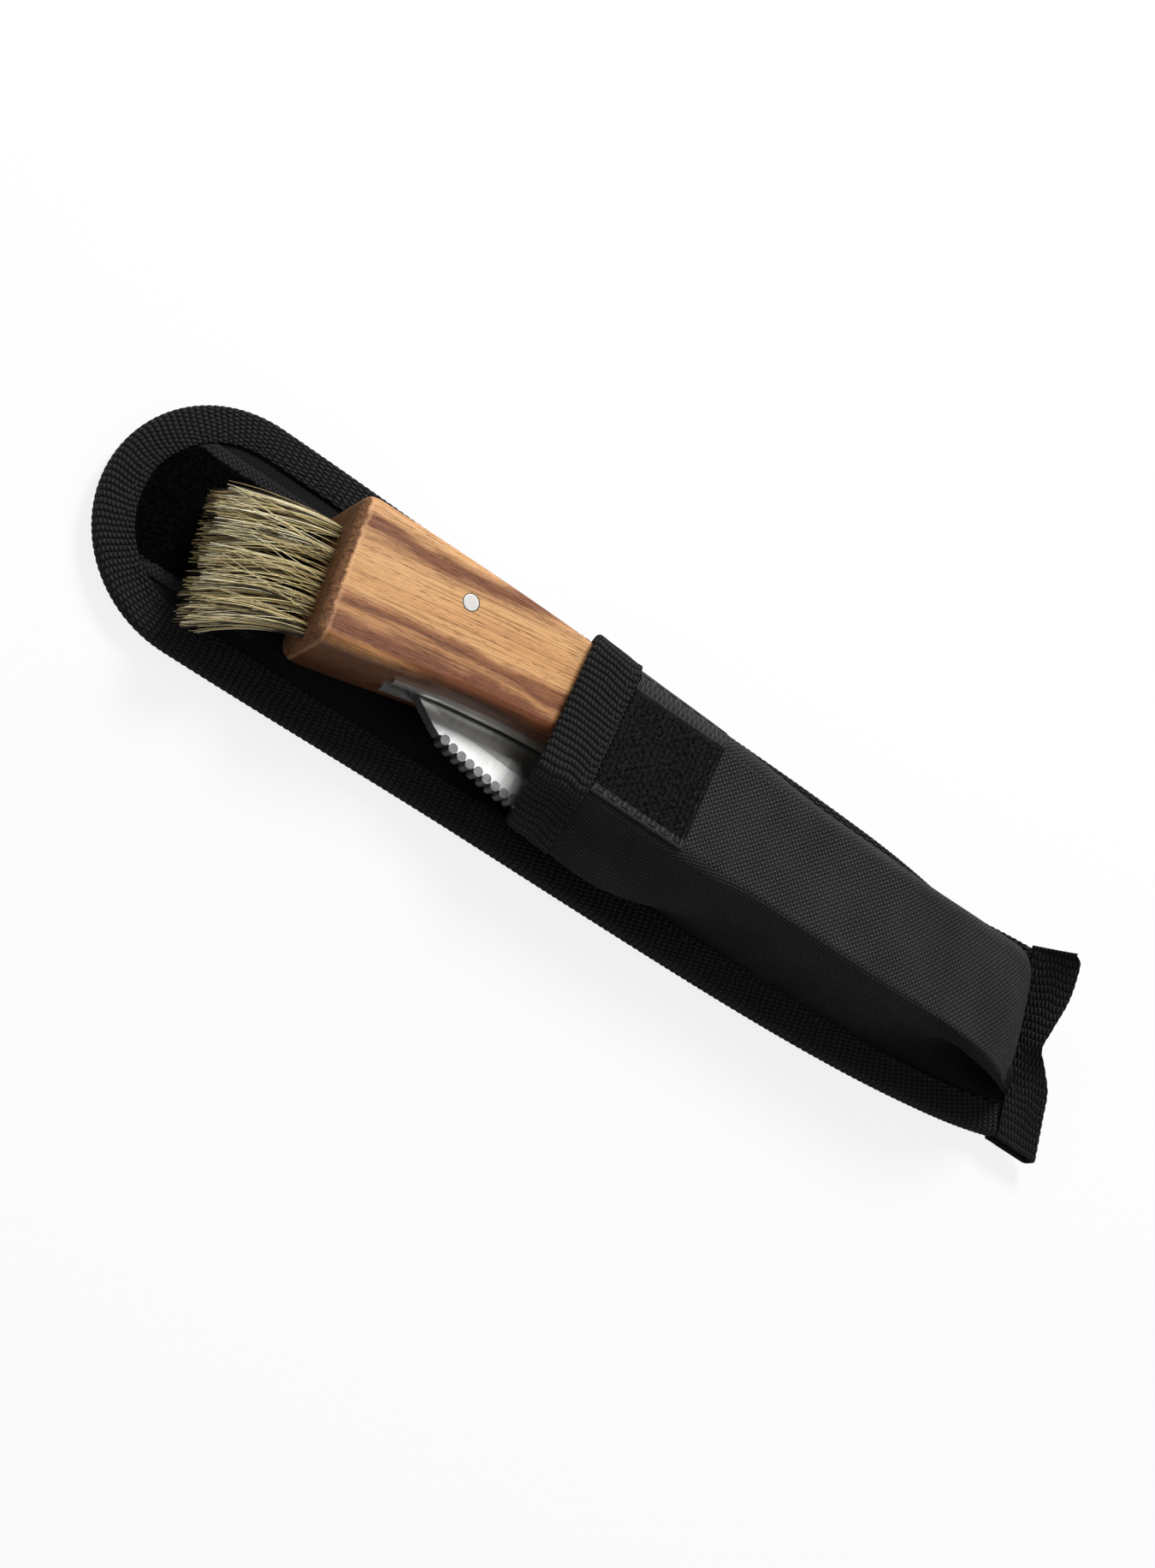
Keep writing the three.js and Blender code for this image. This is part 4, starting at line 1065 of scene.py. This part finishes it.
def hookPatch(materials, threads):
    (x0, near, bottom), (x1, far, _) = [fromFrame(corner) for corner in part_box("hook_patch")]
    far += patches["farReach"]
    nearField, farField = near + patches["nearSelvage"], far - patches["farSelvage"]
    top, lean, turn = bottom + patches["hookBase"], patches["hookLean"], patches["hookTurn"]

    def settle(x, y, z):
        # The far selvage follows the pocket over its far crease
        crease, round = pocketAt(x, sectionMarks["farCrease"])[0], pouchSize["farCrease"]
        over = min(max(0.0, y - crease + round), round)
        return put(x, y, z - round + math.sqrt(round ** 2 - over ** 2))

    piece = patchBase(
        "hook_base", steps(x0, x1, 60), lambda x: (far - near) / 2, (near + far) / 2, bottom,
        patches["hookBase"], "hook_tape", [materials["hookGround"], materials["selvage"]],
        lambda x, y: y < nearField or y > farField, settle,
    )
    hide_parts("hook_patch")
    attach(piece, "pouch")
    stem, (wide, high) = patches["hookRise"] * patches["hookStem"], patches["hookBend"]
    bend = [(wide - wide * c, 0, stem + high * s) for s, c in arc(2.3, 5)[1:]]
    template = bentRod("hook", patches["hookRadius"], 5, [(0, 0, 0), (0, 0, stem), *bend])
    rng = random.Random(4)
    bm = bmesh.new()
    (px, py), (roomX, roomY) = patches["hookPitch"], patches["hookRoom"]
    strayX, strayY = patches["hookStray"]
    columns = int((x1 - x0 - 2 * roomX) / px)
    lines = int((farField - nearField - 2 * roomY) / py)
    for i in range(columns + 1):
        for j in range(lines + 1):
            x = x0 + roomX + i * px + rng.uniform(-strayX, strayX)
            y = nearField + roomY + j * py + rng.uniform(-strayY, strayY)
            tilt = Matrix.Rotation(rng.uniform(-lean, lean), 4, "Y")
            tilt = tilt @ Matrix.Rotation(rng.uniform(-lean, lean), 4, "X")
            spin = Matrix.Rotation((0 if (i + j) % 2 else math.pi) + rng.uniform(-turn, turn), 4, "Z")
            move = Matrix.Translation(put(x, y, top - 0.08))
            addTemplate(bm, template, move @ spin @ tilt @ Matrix.Scale(mm, 4))
    hooks = linkPiece("hook_field", bm, "hook_tape", materials["hooks"])
    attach(hooks, "pouch")
    start, stop = near + 0.5, far - 0.5
    for x in (x1 - 0.7, x1 - 1.7):
        stitchLine(threads, lambda t: settle(x, mix(start, stop, t), top + 0.06), stop - start, 1.5)
    for y in (near + 0.75, far - 0.9):
        stitchLine(threads, lambda t: settle(mix(x0, x1, t), y, top + 0.03), x1 - x0, 2.0)


def loopPatch(materials):
    radius = pouchHalf - pouchSize["tapeWidth"] - layers["seam"]
    far = roundCentre - radius
    x0, x1 = far + 0.25, far + patches["loopLength"]
    bottom, half = backTop + patches["seat"], patches["loopWidth"] / 2
    room, most = patches["pileRoom"], patches["pileTilt"]

    def halfAt(x):
        beyond = min(0.0, x - roundCentre)
        return min(half, math.sqrt(max(0.01, radius ** 2 - beyond ** 2)))

    def isSelvage(x, y):
        return abs(y) > half - patches["loopSelvage"]

    piece = patchBase(
        "loop_base", [mix(x0, x1, t * t * (2 - t)) for t in steps(0, 1, 70)], halfAt, 0, bottom,
        patches["loopBase"], "loop_tape", [materials["pile"], materials["loopEdge"]], isSelvage, put,
    )
    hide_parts("loop_patch", "flap_end_loop_patch")
    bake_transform(piece)
    r = patches["pileRadius"]
    bend = [(r * c, 0, 0.9 * r * s) for s, c in arc(2.5, 6)]
    template = bentRod("pile_loop", patches["pileThread"], 3, bend)
    rng = random.Random(11)
    bm = bmesh.new()
    while len(bm.verts) < patches["pileCount"] * len(template.vertices):
        x = rng.uniform(x0 + room, x1 - room)
        y = rng.uniform(-1, 1) * half
        if abs(y) > halfAt(x) - 0.4 or isSelvage(x, y):
            continue
        tilt = Matrix.Rotation(rng.uniform(-most, most), 4, "X") @ Matrix.Scale(rng.uniform(0.6, 1.15), 4)
        spin = Matrix.Rotation(rng.uniform(0, 2 * math.pi), 4, "Z")
        move = Matrix.Translation(put(x, y, bottom + patches["loopBase"] - 0.06))
        addTemplate(bm, template, move @ spin @ tilt @ Matrix.Scale(mm, 4))
    pile = linkPiece("loop_field", bm, "loop_tape", materials["pile"])
    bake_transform(pile)


# Sewing

sewing = {"length": 2.1, "gap": 0.9, "radius": 0.17, "proud": 0.02}


def stitchLine(bm, spotAt, run, length=sewing["length"]):
    count = max(2, round(run / (length + sewing["gap"] * length / sewing["length"])))
    reach = 0.5 * length / run
    for i in range(count):
        t = (i + 0.5) / count
        a, b = spotAt(t - reach), spotAt(t + reach)
        along = (b - a) / 2
        side = Vector((0, 0, 1)).cross(along).normalized() * sewing["radius"] * mm
        rise = along.cross(side).normalized() * sewing["radius"] * mm
        shape = Matrix((along, side, rise)).transposed().to_4x4()
        shape.translation = (a + b) / 2
        bmesh.ops.create_icosphere(bm, subdivisions=1, radius=1, matrix=shape)


def edgeStitches(bm):
    at, total = outlinePath()
    inset = pouchSize["tapeWidth"] - tapeRibs["stitchIn"]

    def spot(t, over):
        x, y, nx, ny = at(clamp(t) * total)
        z = bindingHeight(x) + sewing["proud"] if over else -sewing["proud"]
        return place(x + nx * inset, y + ny * inset, z)

    stitchLine(bm, lambda t: spot(t, True), total)
    stitchLine(bm, lambda t: spot(t, False), total)


def bandStitches(bm):
    markAt, total = mouthPath()
    mouthIn = pouchSize["mouthTape"] - tapeRibs["stitchIn"]
    out = layers["seam"] + layers["tape"] + sewing["proud"]
    bottomIn = pouchSize["depth"] + tapeRibs["stitchIn"]
    stitchLine(bm, lambda t: onPocket(mouthIn, markAt(clamp(t) * total), out), total)
    stitchLine(
        bm, lambda t: place(bottomIn, mix(-bottomHalf, bottomHalf, clamp(t)), bindingTop + sewing["proud"]),
        2 * bottomHalf,
    )


# Handle

handleForm = {
    "length": 107.5, "out": 44.0, "buttWidth": 27.0, "buttSkew": 3.2, "round": 1.9, "corner": 3.3,
    "outlineSteps": 150,
    "belly": [
        (0.1, 0.426), (0.19, 0.337), (0.28, 0.258), (0.37, 0.205), (0.46, 0.17), (0.57, 0.172), (0.68, 0.185),
        (0.8, 0.205), (0.9, 0.235),
    ],
    "nose": [(0.965, 0.15), (0.995, -0.05), (0.975, -0.27), (0.91, -0.385)],
    "back": [(0.78, -0.445), (0.64, -0.465), (0.5, -0.489), (0.36, -0.516), (0.18, -0.516)],
    "slotStart": 18.0, "slotHalf": 3.0, "holeRoom": 0.07, "tuftHole": 1.15, "tuftHoleDepth": 2.4,
}
brush = {
    "tufts": 5, "pitch": 4.45, "side": 1.9, "radius": 0.95, "rowSpacing": 4.2, "drop": 0.6,
    "strands": 92, "strandRadius": 0.125, "length": 20.2, "trimSkew": 0.1, "lean": 5.2, "droop": 1.5,
    "tuftFan": 1.5, "brushFan": 0.08, "rowFan": 0.26, "uneven": 0.17, "segments": 9, "locks": 6,
    "lowerSide": 1.9, "darkShare": 0.4, "lowerRowPaintedShade": 0.66,
}
strays = {
    "count": 46, "radius": 0.085, "roots": (-10.8, 7.0), "spread": (-2.0, 8.5), "farthest": -17.5,
    "lift": (0.2, 2.6), "curlAt": (-3.4, -7.6), "curlRadius": 1.15,
}
handleButt = -handleForm["out"]
buttAngle = math.atan2(handleForm["buttSkew"], handleForm["buttWidth"])
brushMiddle = handleMiddle - brush["drop"]


def splinePoint(points, t):
    reach = (len(points) - 1) * t
    index = min(int(reach), len(points) - 2)
    weight = reach - index
    p0, p1 = points[max(index - 1, 0)], points[index]
    p2, p3 = points[index + 1], points[min(index + 2, len(points) - 1)]
    result = []
    for a, b, c, d in zip(p0, p1, p2, p3):
        v0, v1 = (c - a) / 2, (d - b) / 2
        cubic, square = 2 * b - 2 * c + v0 + v1, -3 * b + 3 * c - 2 * v0 - v1
        result.append(cubic * weight ** 3 + square * weight ** 2 + v0 * weight + b)
    return tuple(result)


def cornerCurve(before, corner, after, reach):
    # A rounded corner that starts and stops the same reach away from the sharp one
    start, stop = [
        [mix(corner[k], end[k], reach / math.dist(corner, end)) for k in (0, 1)] for end in (before, after)
    ]
    return [
        tuple(mix(mix(start[k], corner[k], t), mix(corner[k], stop[k], t), t) for k in (0, 1))
        for t in steps(0, 1, 8)
    ]


def handleOutline():
    form = handleForm
    half = form["buttWidth"] / 2
    points = [(handleButt + form["buttSkew"] / 2, -half)]
    for name in ("belly", "nose", "back"):
        points += [(handleButt + a * form["length"], -b * form["buttWidth"]) for a, b in form[name]]
    points.append((handleButt - form["buttSkew"] / 2, half))
    made = [splinePoint(points, t) for t in steps(0, 1, form["outlineSteps"])]
    first, last, reach = made[0], made[-1], form["corner"]
    inner = [spot for spot in made if min(math.dist(spot, first), math.dist(spot, last)) > reach + 0.4]
    return [*cornerCurve(last, first, inner[0], reach), *inner, *cornerCurve(inner[-1], last, first, reach)]


def extrudeOutline(outline, low, high):
    bm = bmesh.new()
    verts = [bm.verts.new(put(x, y, low)) for x, y in outline]
    base = bm.faces.new(verts)
    made = bmesh.ops.extrude_face_region(bm, geom=[base])
    moved = [item for item in made["geom"] if isinstance(item, bmesh.types.BMVert)]
    bmesh.ops.translate(bm, verts=moved, vec=(0, 0, (high - low) * mm))
    bmesh.ops.recalc_face_normals(bm, faces=bm.faces)
    return bm


def bevelEdges(bm, edges, offset, segments):
    bmesh.ops.bevel(
        bm, geom=edges, offset=offset * mm, segments=segments, profile=0.5, affect="EDGES", material=-1,
        clamp_overlap=False,
    )


def cutter(name, bm):
    return linkObject(name, meshFrom(name, bm))


def cutWith(piece, tools, operation="DIFFERENCE"):
    for tool in tools:
        cut = piece.modifiers.new("cut", "BOOLEAN")
        cut.operation = operation
        cut.solver = "EXACT"
        cut.object = tool
    finishModifiers(piece)
    for tool in tools:
        bpy.data.objects.remove(tool)


def blockTool(*ranges):
    bm = bmesh.new()
    bmesh.ops.create_cube(bm, size=1)
    for vert in bm.verts:
        vert.co = put(*[mix(low, high, part + 0.5) for (low, high), part in zip(ranges, vert.co)])
    return cutter("block_tool", bm)


def addRod(bm, radius, depth, segments, matrix):
    bmesh.ops.create_cone(
        bm, cap_ends=True, segments=segments, radius1=radius * mm, radius2=radius * mm, depth=depth * mm,
        matrix=matrix,
    )


def rodTool(spot, axis, radius, depth, segments=48, finish=0):
    bm = bmesh.new()
    turn = Vector((0, 0, 1)).rotation_difference(axis).to_matrix().to_4x4()
    turn.translation = spot
    addRod(bm, radius, depth, segments, turn)
    for face in bm.faces:
        face.material_index = finish
    return cutter("rod_tool", bm)


def sharpen(piece, angle=0.6, betweenFinishes=False):
    bm = bmesh.new()
    bm.from_mesh(piece.data)
    for edge in bm.edges:
        if len(edge.link_faces) == 2:
            a, b = edge.link_faces
            parted = betweenFinishes and a.material_index != b.material_index
            if parted or edge.calc_face_angle(0) > angle:
                edge.smooth = False
    bm.to_mesh(piece.data)
    bm.free()
    addFinish(piece, "WEIGHTED_NORMAL", keep_sharp=True)


def levelEdges(bm):
    return [edge for edge in bm.edges if abs(edge.verts[0].co.z - edge.verts[1].co.z) < 1e-6]


pinNames = ("rear_rivet", "middle_rivet", "pivot_pin")


def pinSpot(name):
    # The middle, radius and length of a pin
    low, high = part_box(name)
    return (low + high) / 2, (high.x - low.x) / 2 / mm, (high.z - low.z) / mm


def tuftRoot(t, row):
    aside = brush["lowerSide"] if row < 0 else 0
    return (t - (brush["tufts"] - 1) / 2) * brush["pitch"] - brush["side"] + aside


def onButt(x, y, z):
    turned = Matrix.Rotation(buttAngle, 3, "Z") @ Vector((x, y, 0))
    return put(handleButt + turned.x, turned.y, z)


def woodenHandle(materials):
    form = handleForm
    up = Vector((0, 0, 1))
    bm = extrudeOutline(handleOutline(), handleBottom, handleTop)
    rims = [edge for edge in levelEdges(bm) if edge.calc_face_angle(0) > 1]
    bevelEdges(bm, rims, form["round"], 6)
    piece = linkPiece("wooden_handle", bm, "striped_wood", materials["wood"])
    slotX, half = handleButt + form["slotStart"] - layers["seam"], form["slotHalf"]
    tools = [blockTool(
        (slotX, form["length"]), (-form["buttWidth"], form["buttWidth"]),
        (handleMiddle - half, handleMiddle + half),
    )]
    for name in pinNames:
        spot, radius, depth = pinSpot(name)
        tools.append(rodTool(spot, up, radius + form["holeRoom"], depth + 4))
    axis = Matrix.Rotation(buttAngle, 3, "Z") @ Vector((1, 0, 0))
    for row in (1, -1):
        for t in range(brush["tufts"]):
            spot = onButt(0, tuftRoot(t, row), brushMiddle + row * brush["rowSpacing"] / 2)
            tools.append(rodTool(spot, axis, form["tuftHole"], 2 * form["tuftHoleDepth"], 20))
    cutWith(piece, tools)
    sharpen(piece)
    markPaintedSideShade(piece)
    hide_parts("handle_block")
    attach(piece, "knife")


def markPaintedSideShade(piece):
    # Where the wood turns down from the top on the blade's edge side: marks for a painted shade, which
    # darkens that side
    side = piece.data.attributes.new("side", "FLOAT", "POINT")
    for index, vert in enumerate(piece.data.vertices):
        _, y, high = fromFrame(vert.co)
        toRim = min(handleTop - high, high - handleBottom)
        side.data[index].value = ease(toRim, 0.3, handleForm["round"] - 0.5) if y < -2 else 0.0


def pins(materials):
    for name in pinNames:
        spot, radius, depth = pinSpot(name)
        bm = bmesh.new()
        addRod(bm, radius, depth + 0.06, 56, Matrix.Translation(spot))
        bevelEdges(bm, levelEdges(bm), 0.16, 3)
        piece = linkPiece(name + "_steel", bm, "rivet_steel", materials["rivet"])
        sharpen(piece, 1.2)
        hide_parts(name)
        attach(piece, "knife")


# Brush

def strandTemplate(radius, segments):
    bm = bmesh.new()
    ring = bmesh.ops.create_circle(bm, cap_ends=False, segments=3, radius=radius)["verts"]
    edges = list({edge for vert in ring for edge in vert.link_edges})
    for i in range(segments):
        made = bmesh.ops.extrude_edge_only(bm, edges=edges)
        verts = [item for item in made["geom"] if isinstance(item, bmesh.types.BMVert)]
        edges = [item for item in made["geom"] if isinstance(item, bmesh.types.BMEdge)]
        for vert in verts:
            vert.co.z = (i + 1) / segments
    bmesh.ops.contextual_create(bm, geom=edges)
    bmesh.ops.recalc_face_normals(bm, faces=bm.faces)
    return meshFrom("strand", bm)


def addStrand(bm, toneLayer, template, spotAt, tone, thick=1.0):
    start = len(bm.verts)
    bm.from_mesh(template)
    bm.verts.ensure_lookup_table()
    for vert in bm.verts[start:]:
        share = vert.co.z
        spot = spotAt(share)
        taper = thick * mix(1, 0.5, share ** 2)
        # The tone rises a little towards the tip, and falls sharply at the root, a painted shade where the
        # strand sits in its hole
        vert[toneLayer] = tone + 0.10 * (share - 0.5) - 0.3 * (1 - share) ** 5
        vert.co = spot + Vector((0, vert.co.x * taper, vert.co.y * taper)) * mm


def bristleRow(materials, name, node, row):
    rng = random.Random(30 + row)
    template = strandTemplate(brush["strandRadius"], brush["segments"])
    bm = bmesh.new()
    toneLayer = bm.verts.layers.float.new("tone")
    rise = row * brush["rowSpacing"] / 2
    for t in range(brush["tufts"]):
        rootY = tuftRoot(t, row)
        tuftLean = rng.uniform(-0.3, 0.3)
        locks = [
            (rng.gauss(0, 0.75), rng.gauss(0, 0.5), rng.uniform(-0.16, 0.16)) for _ in range(brush["locks"])
        ]
        for _ in range(brush["strands"]):
            radius, turn = math.sqrt(rng.random()) * brush["radius"], rng.uniform(0, 2 * math.pi)
            offY, offZ = radius * math.cos(turn), radius * math.sin(turn)
            length = brush["length"] * (1 - brush["uneven"] * rng.random() ** 2.2)
            length += brush["trimSkew"] * (rootY - 6)
            lockY, lockZ, lockTone = locks[int(turn / (2 * math.pi) * brush["locks"])]
            bendY, bendZ = lockY + rng.gauss(0, 0.26), lockZ + rng.gauss(0, 0.26)
            curl, phase = rng.gauss(0, 0.2), rng.uniform(0, 6.28)
            dark = rng.random() < brush["darkShare"]
            tone = rng.uniform(0.0, 0.2) if dark else clamp(rng.gauss(0.66, 0.22) + lockTone)

            def spotAt(share):
                reach = share * length - 1.8 * (1 - share)
                fan = 1 + brush["tuftFan"] * share ** 0.8
                y = rootY + (rootY + brush["side"]) * brush["brushFan"] * share + offY * fan
                y -= (brush["lean"] + tuftLean) * share ** 1.8
                y += bendY * share ** 1.5 + curl * math.sin(share * 5 + phase) * share
                z = rise * (1 + brush["rowFan"] * share) + offZ * fan
                z += bendZ * share ** 1.5 - brush["droop"] * share ** 2
                z += curl * math.cos(share * 4 + phase) * share
                return onButt(-reach, y, brushMiddle + z)

            # Painted shade: the lower row's strands are made darker, as it lies under the upper row
            tone *= brush["lowerRowPaintedShade"] if row < 0 else 1
            addStrand(bm, toneLayer, template, spotAt, tone, 0.85 if dark else rng.uniform(0.7, 1.2))
    piece = linkPiece(name, bm, "bristle", materials["hair"])
    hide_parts(node)
    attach(piece, "knife")


def strayHairs(materials):
    rng = random.Random(77)
    template = strandTemplate(strays["radius"], 14)
    bm = bmesh.new()
    toneLayer = bm.verts.layers.float.new("tone")
    for _ in range(strays["count"]):
        rootY, row = rng.uniform(*strays["roots"]), rng.choice((0.6, 1.0, 1.0))
        endY = max(strays["farthest"], rootY - rng.uniform(*strays["spread"]))
        lift = rng.uniform(*strays["lift"])
        length = brush["length"] * rng.uniform(0.72, 0.98)
        phase = rng.uniform(0, 6.28)

        def spotAt(share):
            y = mix(rootY, endY, share ** 1.4) + 0.5 * math.sin(3 * share + phase) * share
            z = row * brush["rowSpacing"] / 2 + 1.2 + lift * math.sin(math.pi * 0.62 * share)
            return onButt(-share * length + 1.2 * (1 - share), y, brushMiddle + z)

        addStrand(bm, toneLayer, template, spotAt, clamp(rng.gauss(0.72, 0.12)))

    def curl(share):
        turn = -0.6 + share * 6.6
        reach = strays["curlRadius"] * (1 - 0.25 * share)
        x, y = strays["curlAt"]
        z = brushMiddle + brush["rowSpacing"] / 2 + 1.9 + 0.5 * share
        return onButt(x + reach * math.cos(turn), y + reach * math.sin(turn), z)

    addStrand(bm, toneLayer, strandTemplate(strays["radius"] * 1.8, 40), curl, 0.55)
    piece = linkPiece("stray_hairs", bm, "bristle", materials["hair"])
    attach(piece, "knife")


# Blade

bladeForm = {
    "pivotNose": 16.5, "slotRoom": 2.5, "width": 18.8, "thickness": 2.0, "edge": 0.3, "grind": 0.42,
    "tang": 6.6, "tangTurns": (-0.58, 0.83), "bandShare": 0.28, "bandSpine": 1.28, "rows": 150,
    "spine": [
        (0.13, 0.43), (0.28, 0.56), (0.43, 0.735), (0.54, 0.89), (0.615, 0.975), (0.66, 1),
        (0.7, 0.985), (0.78, 0.94), (0.85, 0.885), (0.885, 0.828), (0.92, 0.745), (0.968, 0.622), (1, 0.51),
    ],
    "cut": [
        (0.13, 0.125), (0.28, 0.11), (0.43, 0.09), (0.54, 0.095), (0.615, 0.105), (0.66, 0.115),
        (0.7, 0.13), (0.78, 0.175), (0.85, 0.24), (0.885, 0.285), (0.92, 0.345), (0.968, 0.43), (1, 0.505),
    ],
    "notches": 12, "notchPitch": 1.86, "notchRadius": 0.34, "notchTip": 9.2,
    "lobeRadius": 0.86, "lobeIn": 0.42,
}


def steelBlade(materials):
    form = bladeForm
    pivot, pinRadius, _ = pinSpot("pivot_pin")
    pivotX, pivotY, _ = fromFrame(pivot)
    length = handleForm["length"] - form["pivotNose"] - handleForm["slotStart"] - form["slotRoom"]
    first = form["spine"][0][0]
    half, edgeHalf = form["thickness"] / 2, form["edge"] / 2
    up = Vector((0, 0, 1))

    def edgesAt(along):
        return [pivotY - through(form[edge], along) * form["width"] for edge in ("spine", "cut")]

    def finishAt(x, y):
        # The flat is brushed; the ground band beside the spine takes a lighter steel, a painted highlight;
        # and the spine itself takes a darker steel, a painted shade
        along = min(max((pivotX - x) / length, first), 1)
        spine, cut = edgesAt(along)
        across = (y - spine) / (cut - spine)
        if across > form["bandShare"] * 0.8 or along < 0.3:
            return 0
        return 1 if across > 0.04 else 2

    stations = [mix(first, 1, 1 - (1 - t) ** 1.25) for t in steps(0, 1, form["rows"])]
    rows = []
    for along in stations:
        spine, cut = edgesAt(along)
        grind = mix(cut, spine, form["grind"])
        band = spine + form["bandShare"] * (cut - spine) * ease(along, 0.2, 0.2)
        back = mix(half, form["bandSpine"], ease(along, 0.3, 0.2) * (1 - 0.3 * ease(along, 0.9, 0.1)))
        x = pivotX - along * length
        section = [
            (spine, 0), (spine, back), (band, half), (grind, half), (cut, edgeHalf),
            (cut, -edgeHalf), (grind, -half), (band, -half), (spine, -back),
        ]
        rows.append([put(x, y, handleMiddle + z) for y, z in section])
    finishes = [materials[kind] for kind in ("blade", "bandPaintedHighlight", "spine")]
    piece = skinPiece("steel_blade", rows, stations, "blade_steel", finishes, finishAt)

    x = pivotX - first * length
    spine, cut = edgesAt(first)
    outline = [(x - 2, cut), (x - 2, spine), (x, spine)]
    start, stop = form["tangTurns"]
    outline += [
        (pivotX + form["tang"] * math.cos(turn), pivotY + form["tang"] * math.sin(turn))
        for turn in steps(start * math.pi, stop * math.pi, 40)
    ]
    tang = cutter("tang_tool", extrudeOutline(outline, handleMiddle - half, handleMiddle + half))
    cutWith(piece, [tang], "UNION")

    def alongSpine(count, inside):
        distance = length - form["notchTip"] - count * form["notchPitch"]
        rise = through(form["spine"], distance / length) * form["width"] - inside
        return put(pivotX - distance, pivotY - rise, handleMiddle)

    notches = range(form["notches"])
    tools = [rodTool(pivot, up, pinRadius + 0.05, 6)]
    tools += [rodTool(alongSpine(i, 0), up, form["notchRadius"], 6, 20, 2) for i in notches]
    cutWith(piece, tools)
    thick = 2 * form["bandSpine"] + 0.06
    lobes = [alongSpine(i + 0.5, form["lobeIn"]) for i in notches[:-1]]
    cutWith(piece, [rodTool(lobe, up, form["lobeRadius"], thick, 28, 2) for lobe in lobes], "UNION")
    sharpen(piece, 0.35, True)
    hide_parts("blade")
    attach(piece, "blade")


# Scene

print("camera and light")
bpy.context.scene.view_settings.view_transform = "Standard"
makeCamera()
for lampName in ("key", "fill", "rim"):
    makeLight(lampName)
makeSurroundings()

made = makeMaterials()
print("pouch")
threads = bmesh.new()
flapThreads = bmesh.new()
edgeTape(made)
backCloth(made)
marks = sectionMarks
nearSeam, farSeam = marks["nearSeam"], marks["farSeam"]
pocketCloth("near_gusset", 0, nearSeam, 60, made["gusset"], "gusset_cloth", "right_gusset", True)
pocketCloth("front_cloth", nearSeam, farSeam, 40, made["front"], "woven_cloth", "front_panel", False)
pocketCloth(
    "far_gusset", farSeam, marks["end"], 60, made["gusset"], "gusset_cloth", "left_gusset", True,
    made["front"],
)
mouthTape(made)
bottomTape(made)
beltStrap(made)
hookPatch(made, threads)
loopPatch(made)
edgeStitches(flapThreads)
bandStitches(threads)
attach(linkPiece("pouch_stitches", threads, "binding_tape", made["thread"]), "pouch")
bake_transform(linkPiece("edge_stitches", flapThreads, "binding_tape", made["thread"]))

print("knife")
woodenHandle(made)
pins(made)
steelBlade(made)
for nodeName, kind in (
    ("upper_liner", "liner"), ("lower_liner", "liner"), ("back_spring", "liner"),
    ("upper_washer", "brass"), ("lower_washer", "brass"),
):
    node = frame["nodes"][nodeName]
    for part in [node, *node.children]:
        if part.type == "MESH":
            if part.material_slots:
                for spot in part.material_slots:
                    spot.material = made[kind]
            else:
                part.data.materials.append(made[kind])

print("brush")
bristleRow(made, "upper_hairs", "upper_bristle_row", 1)
bristleRow(made, "lower_hairs", "lower_bristle_row", -1)
strayHairs(made)
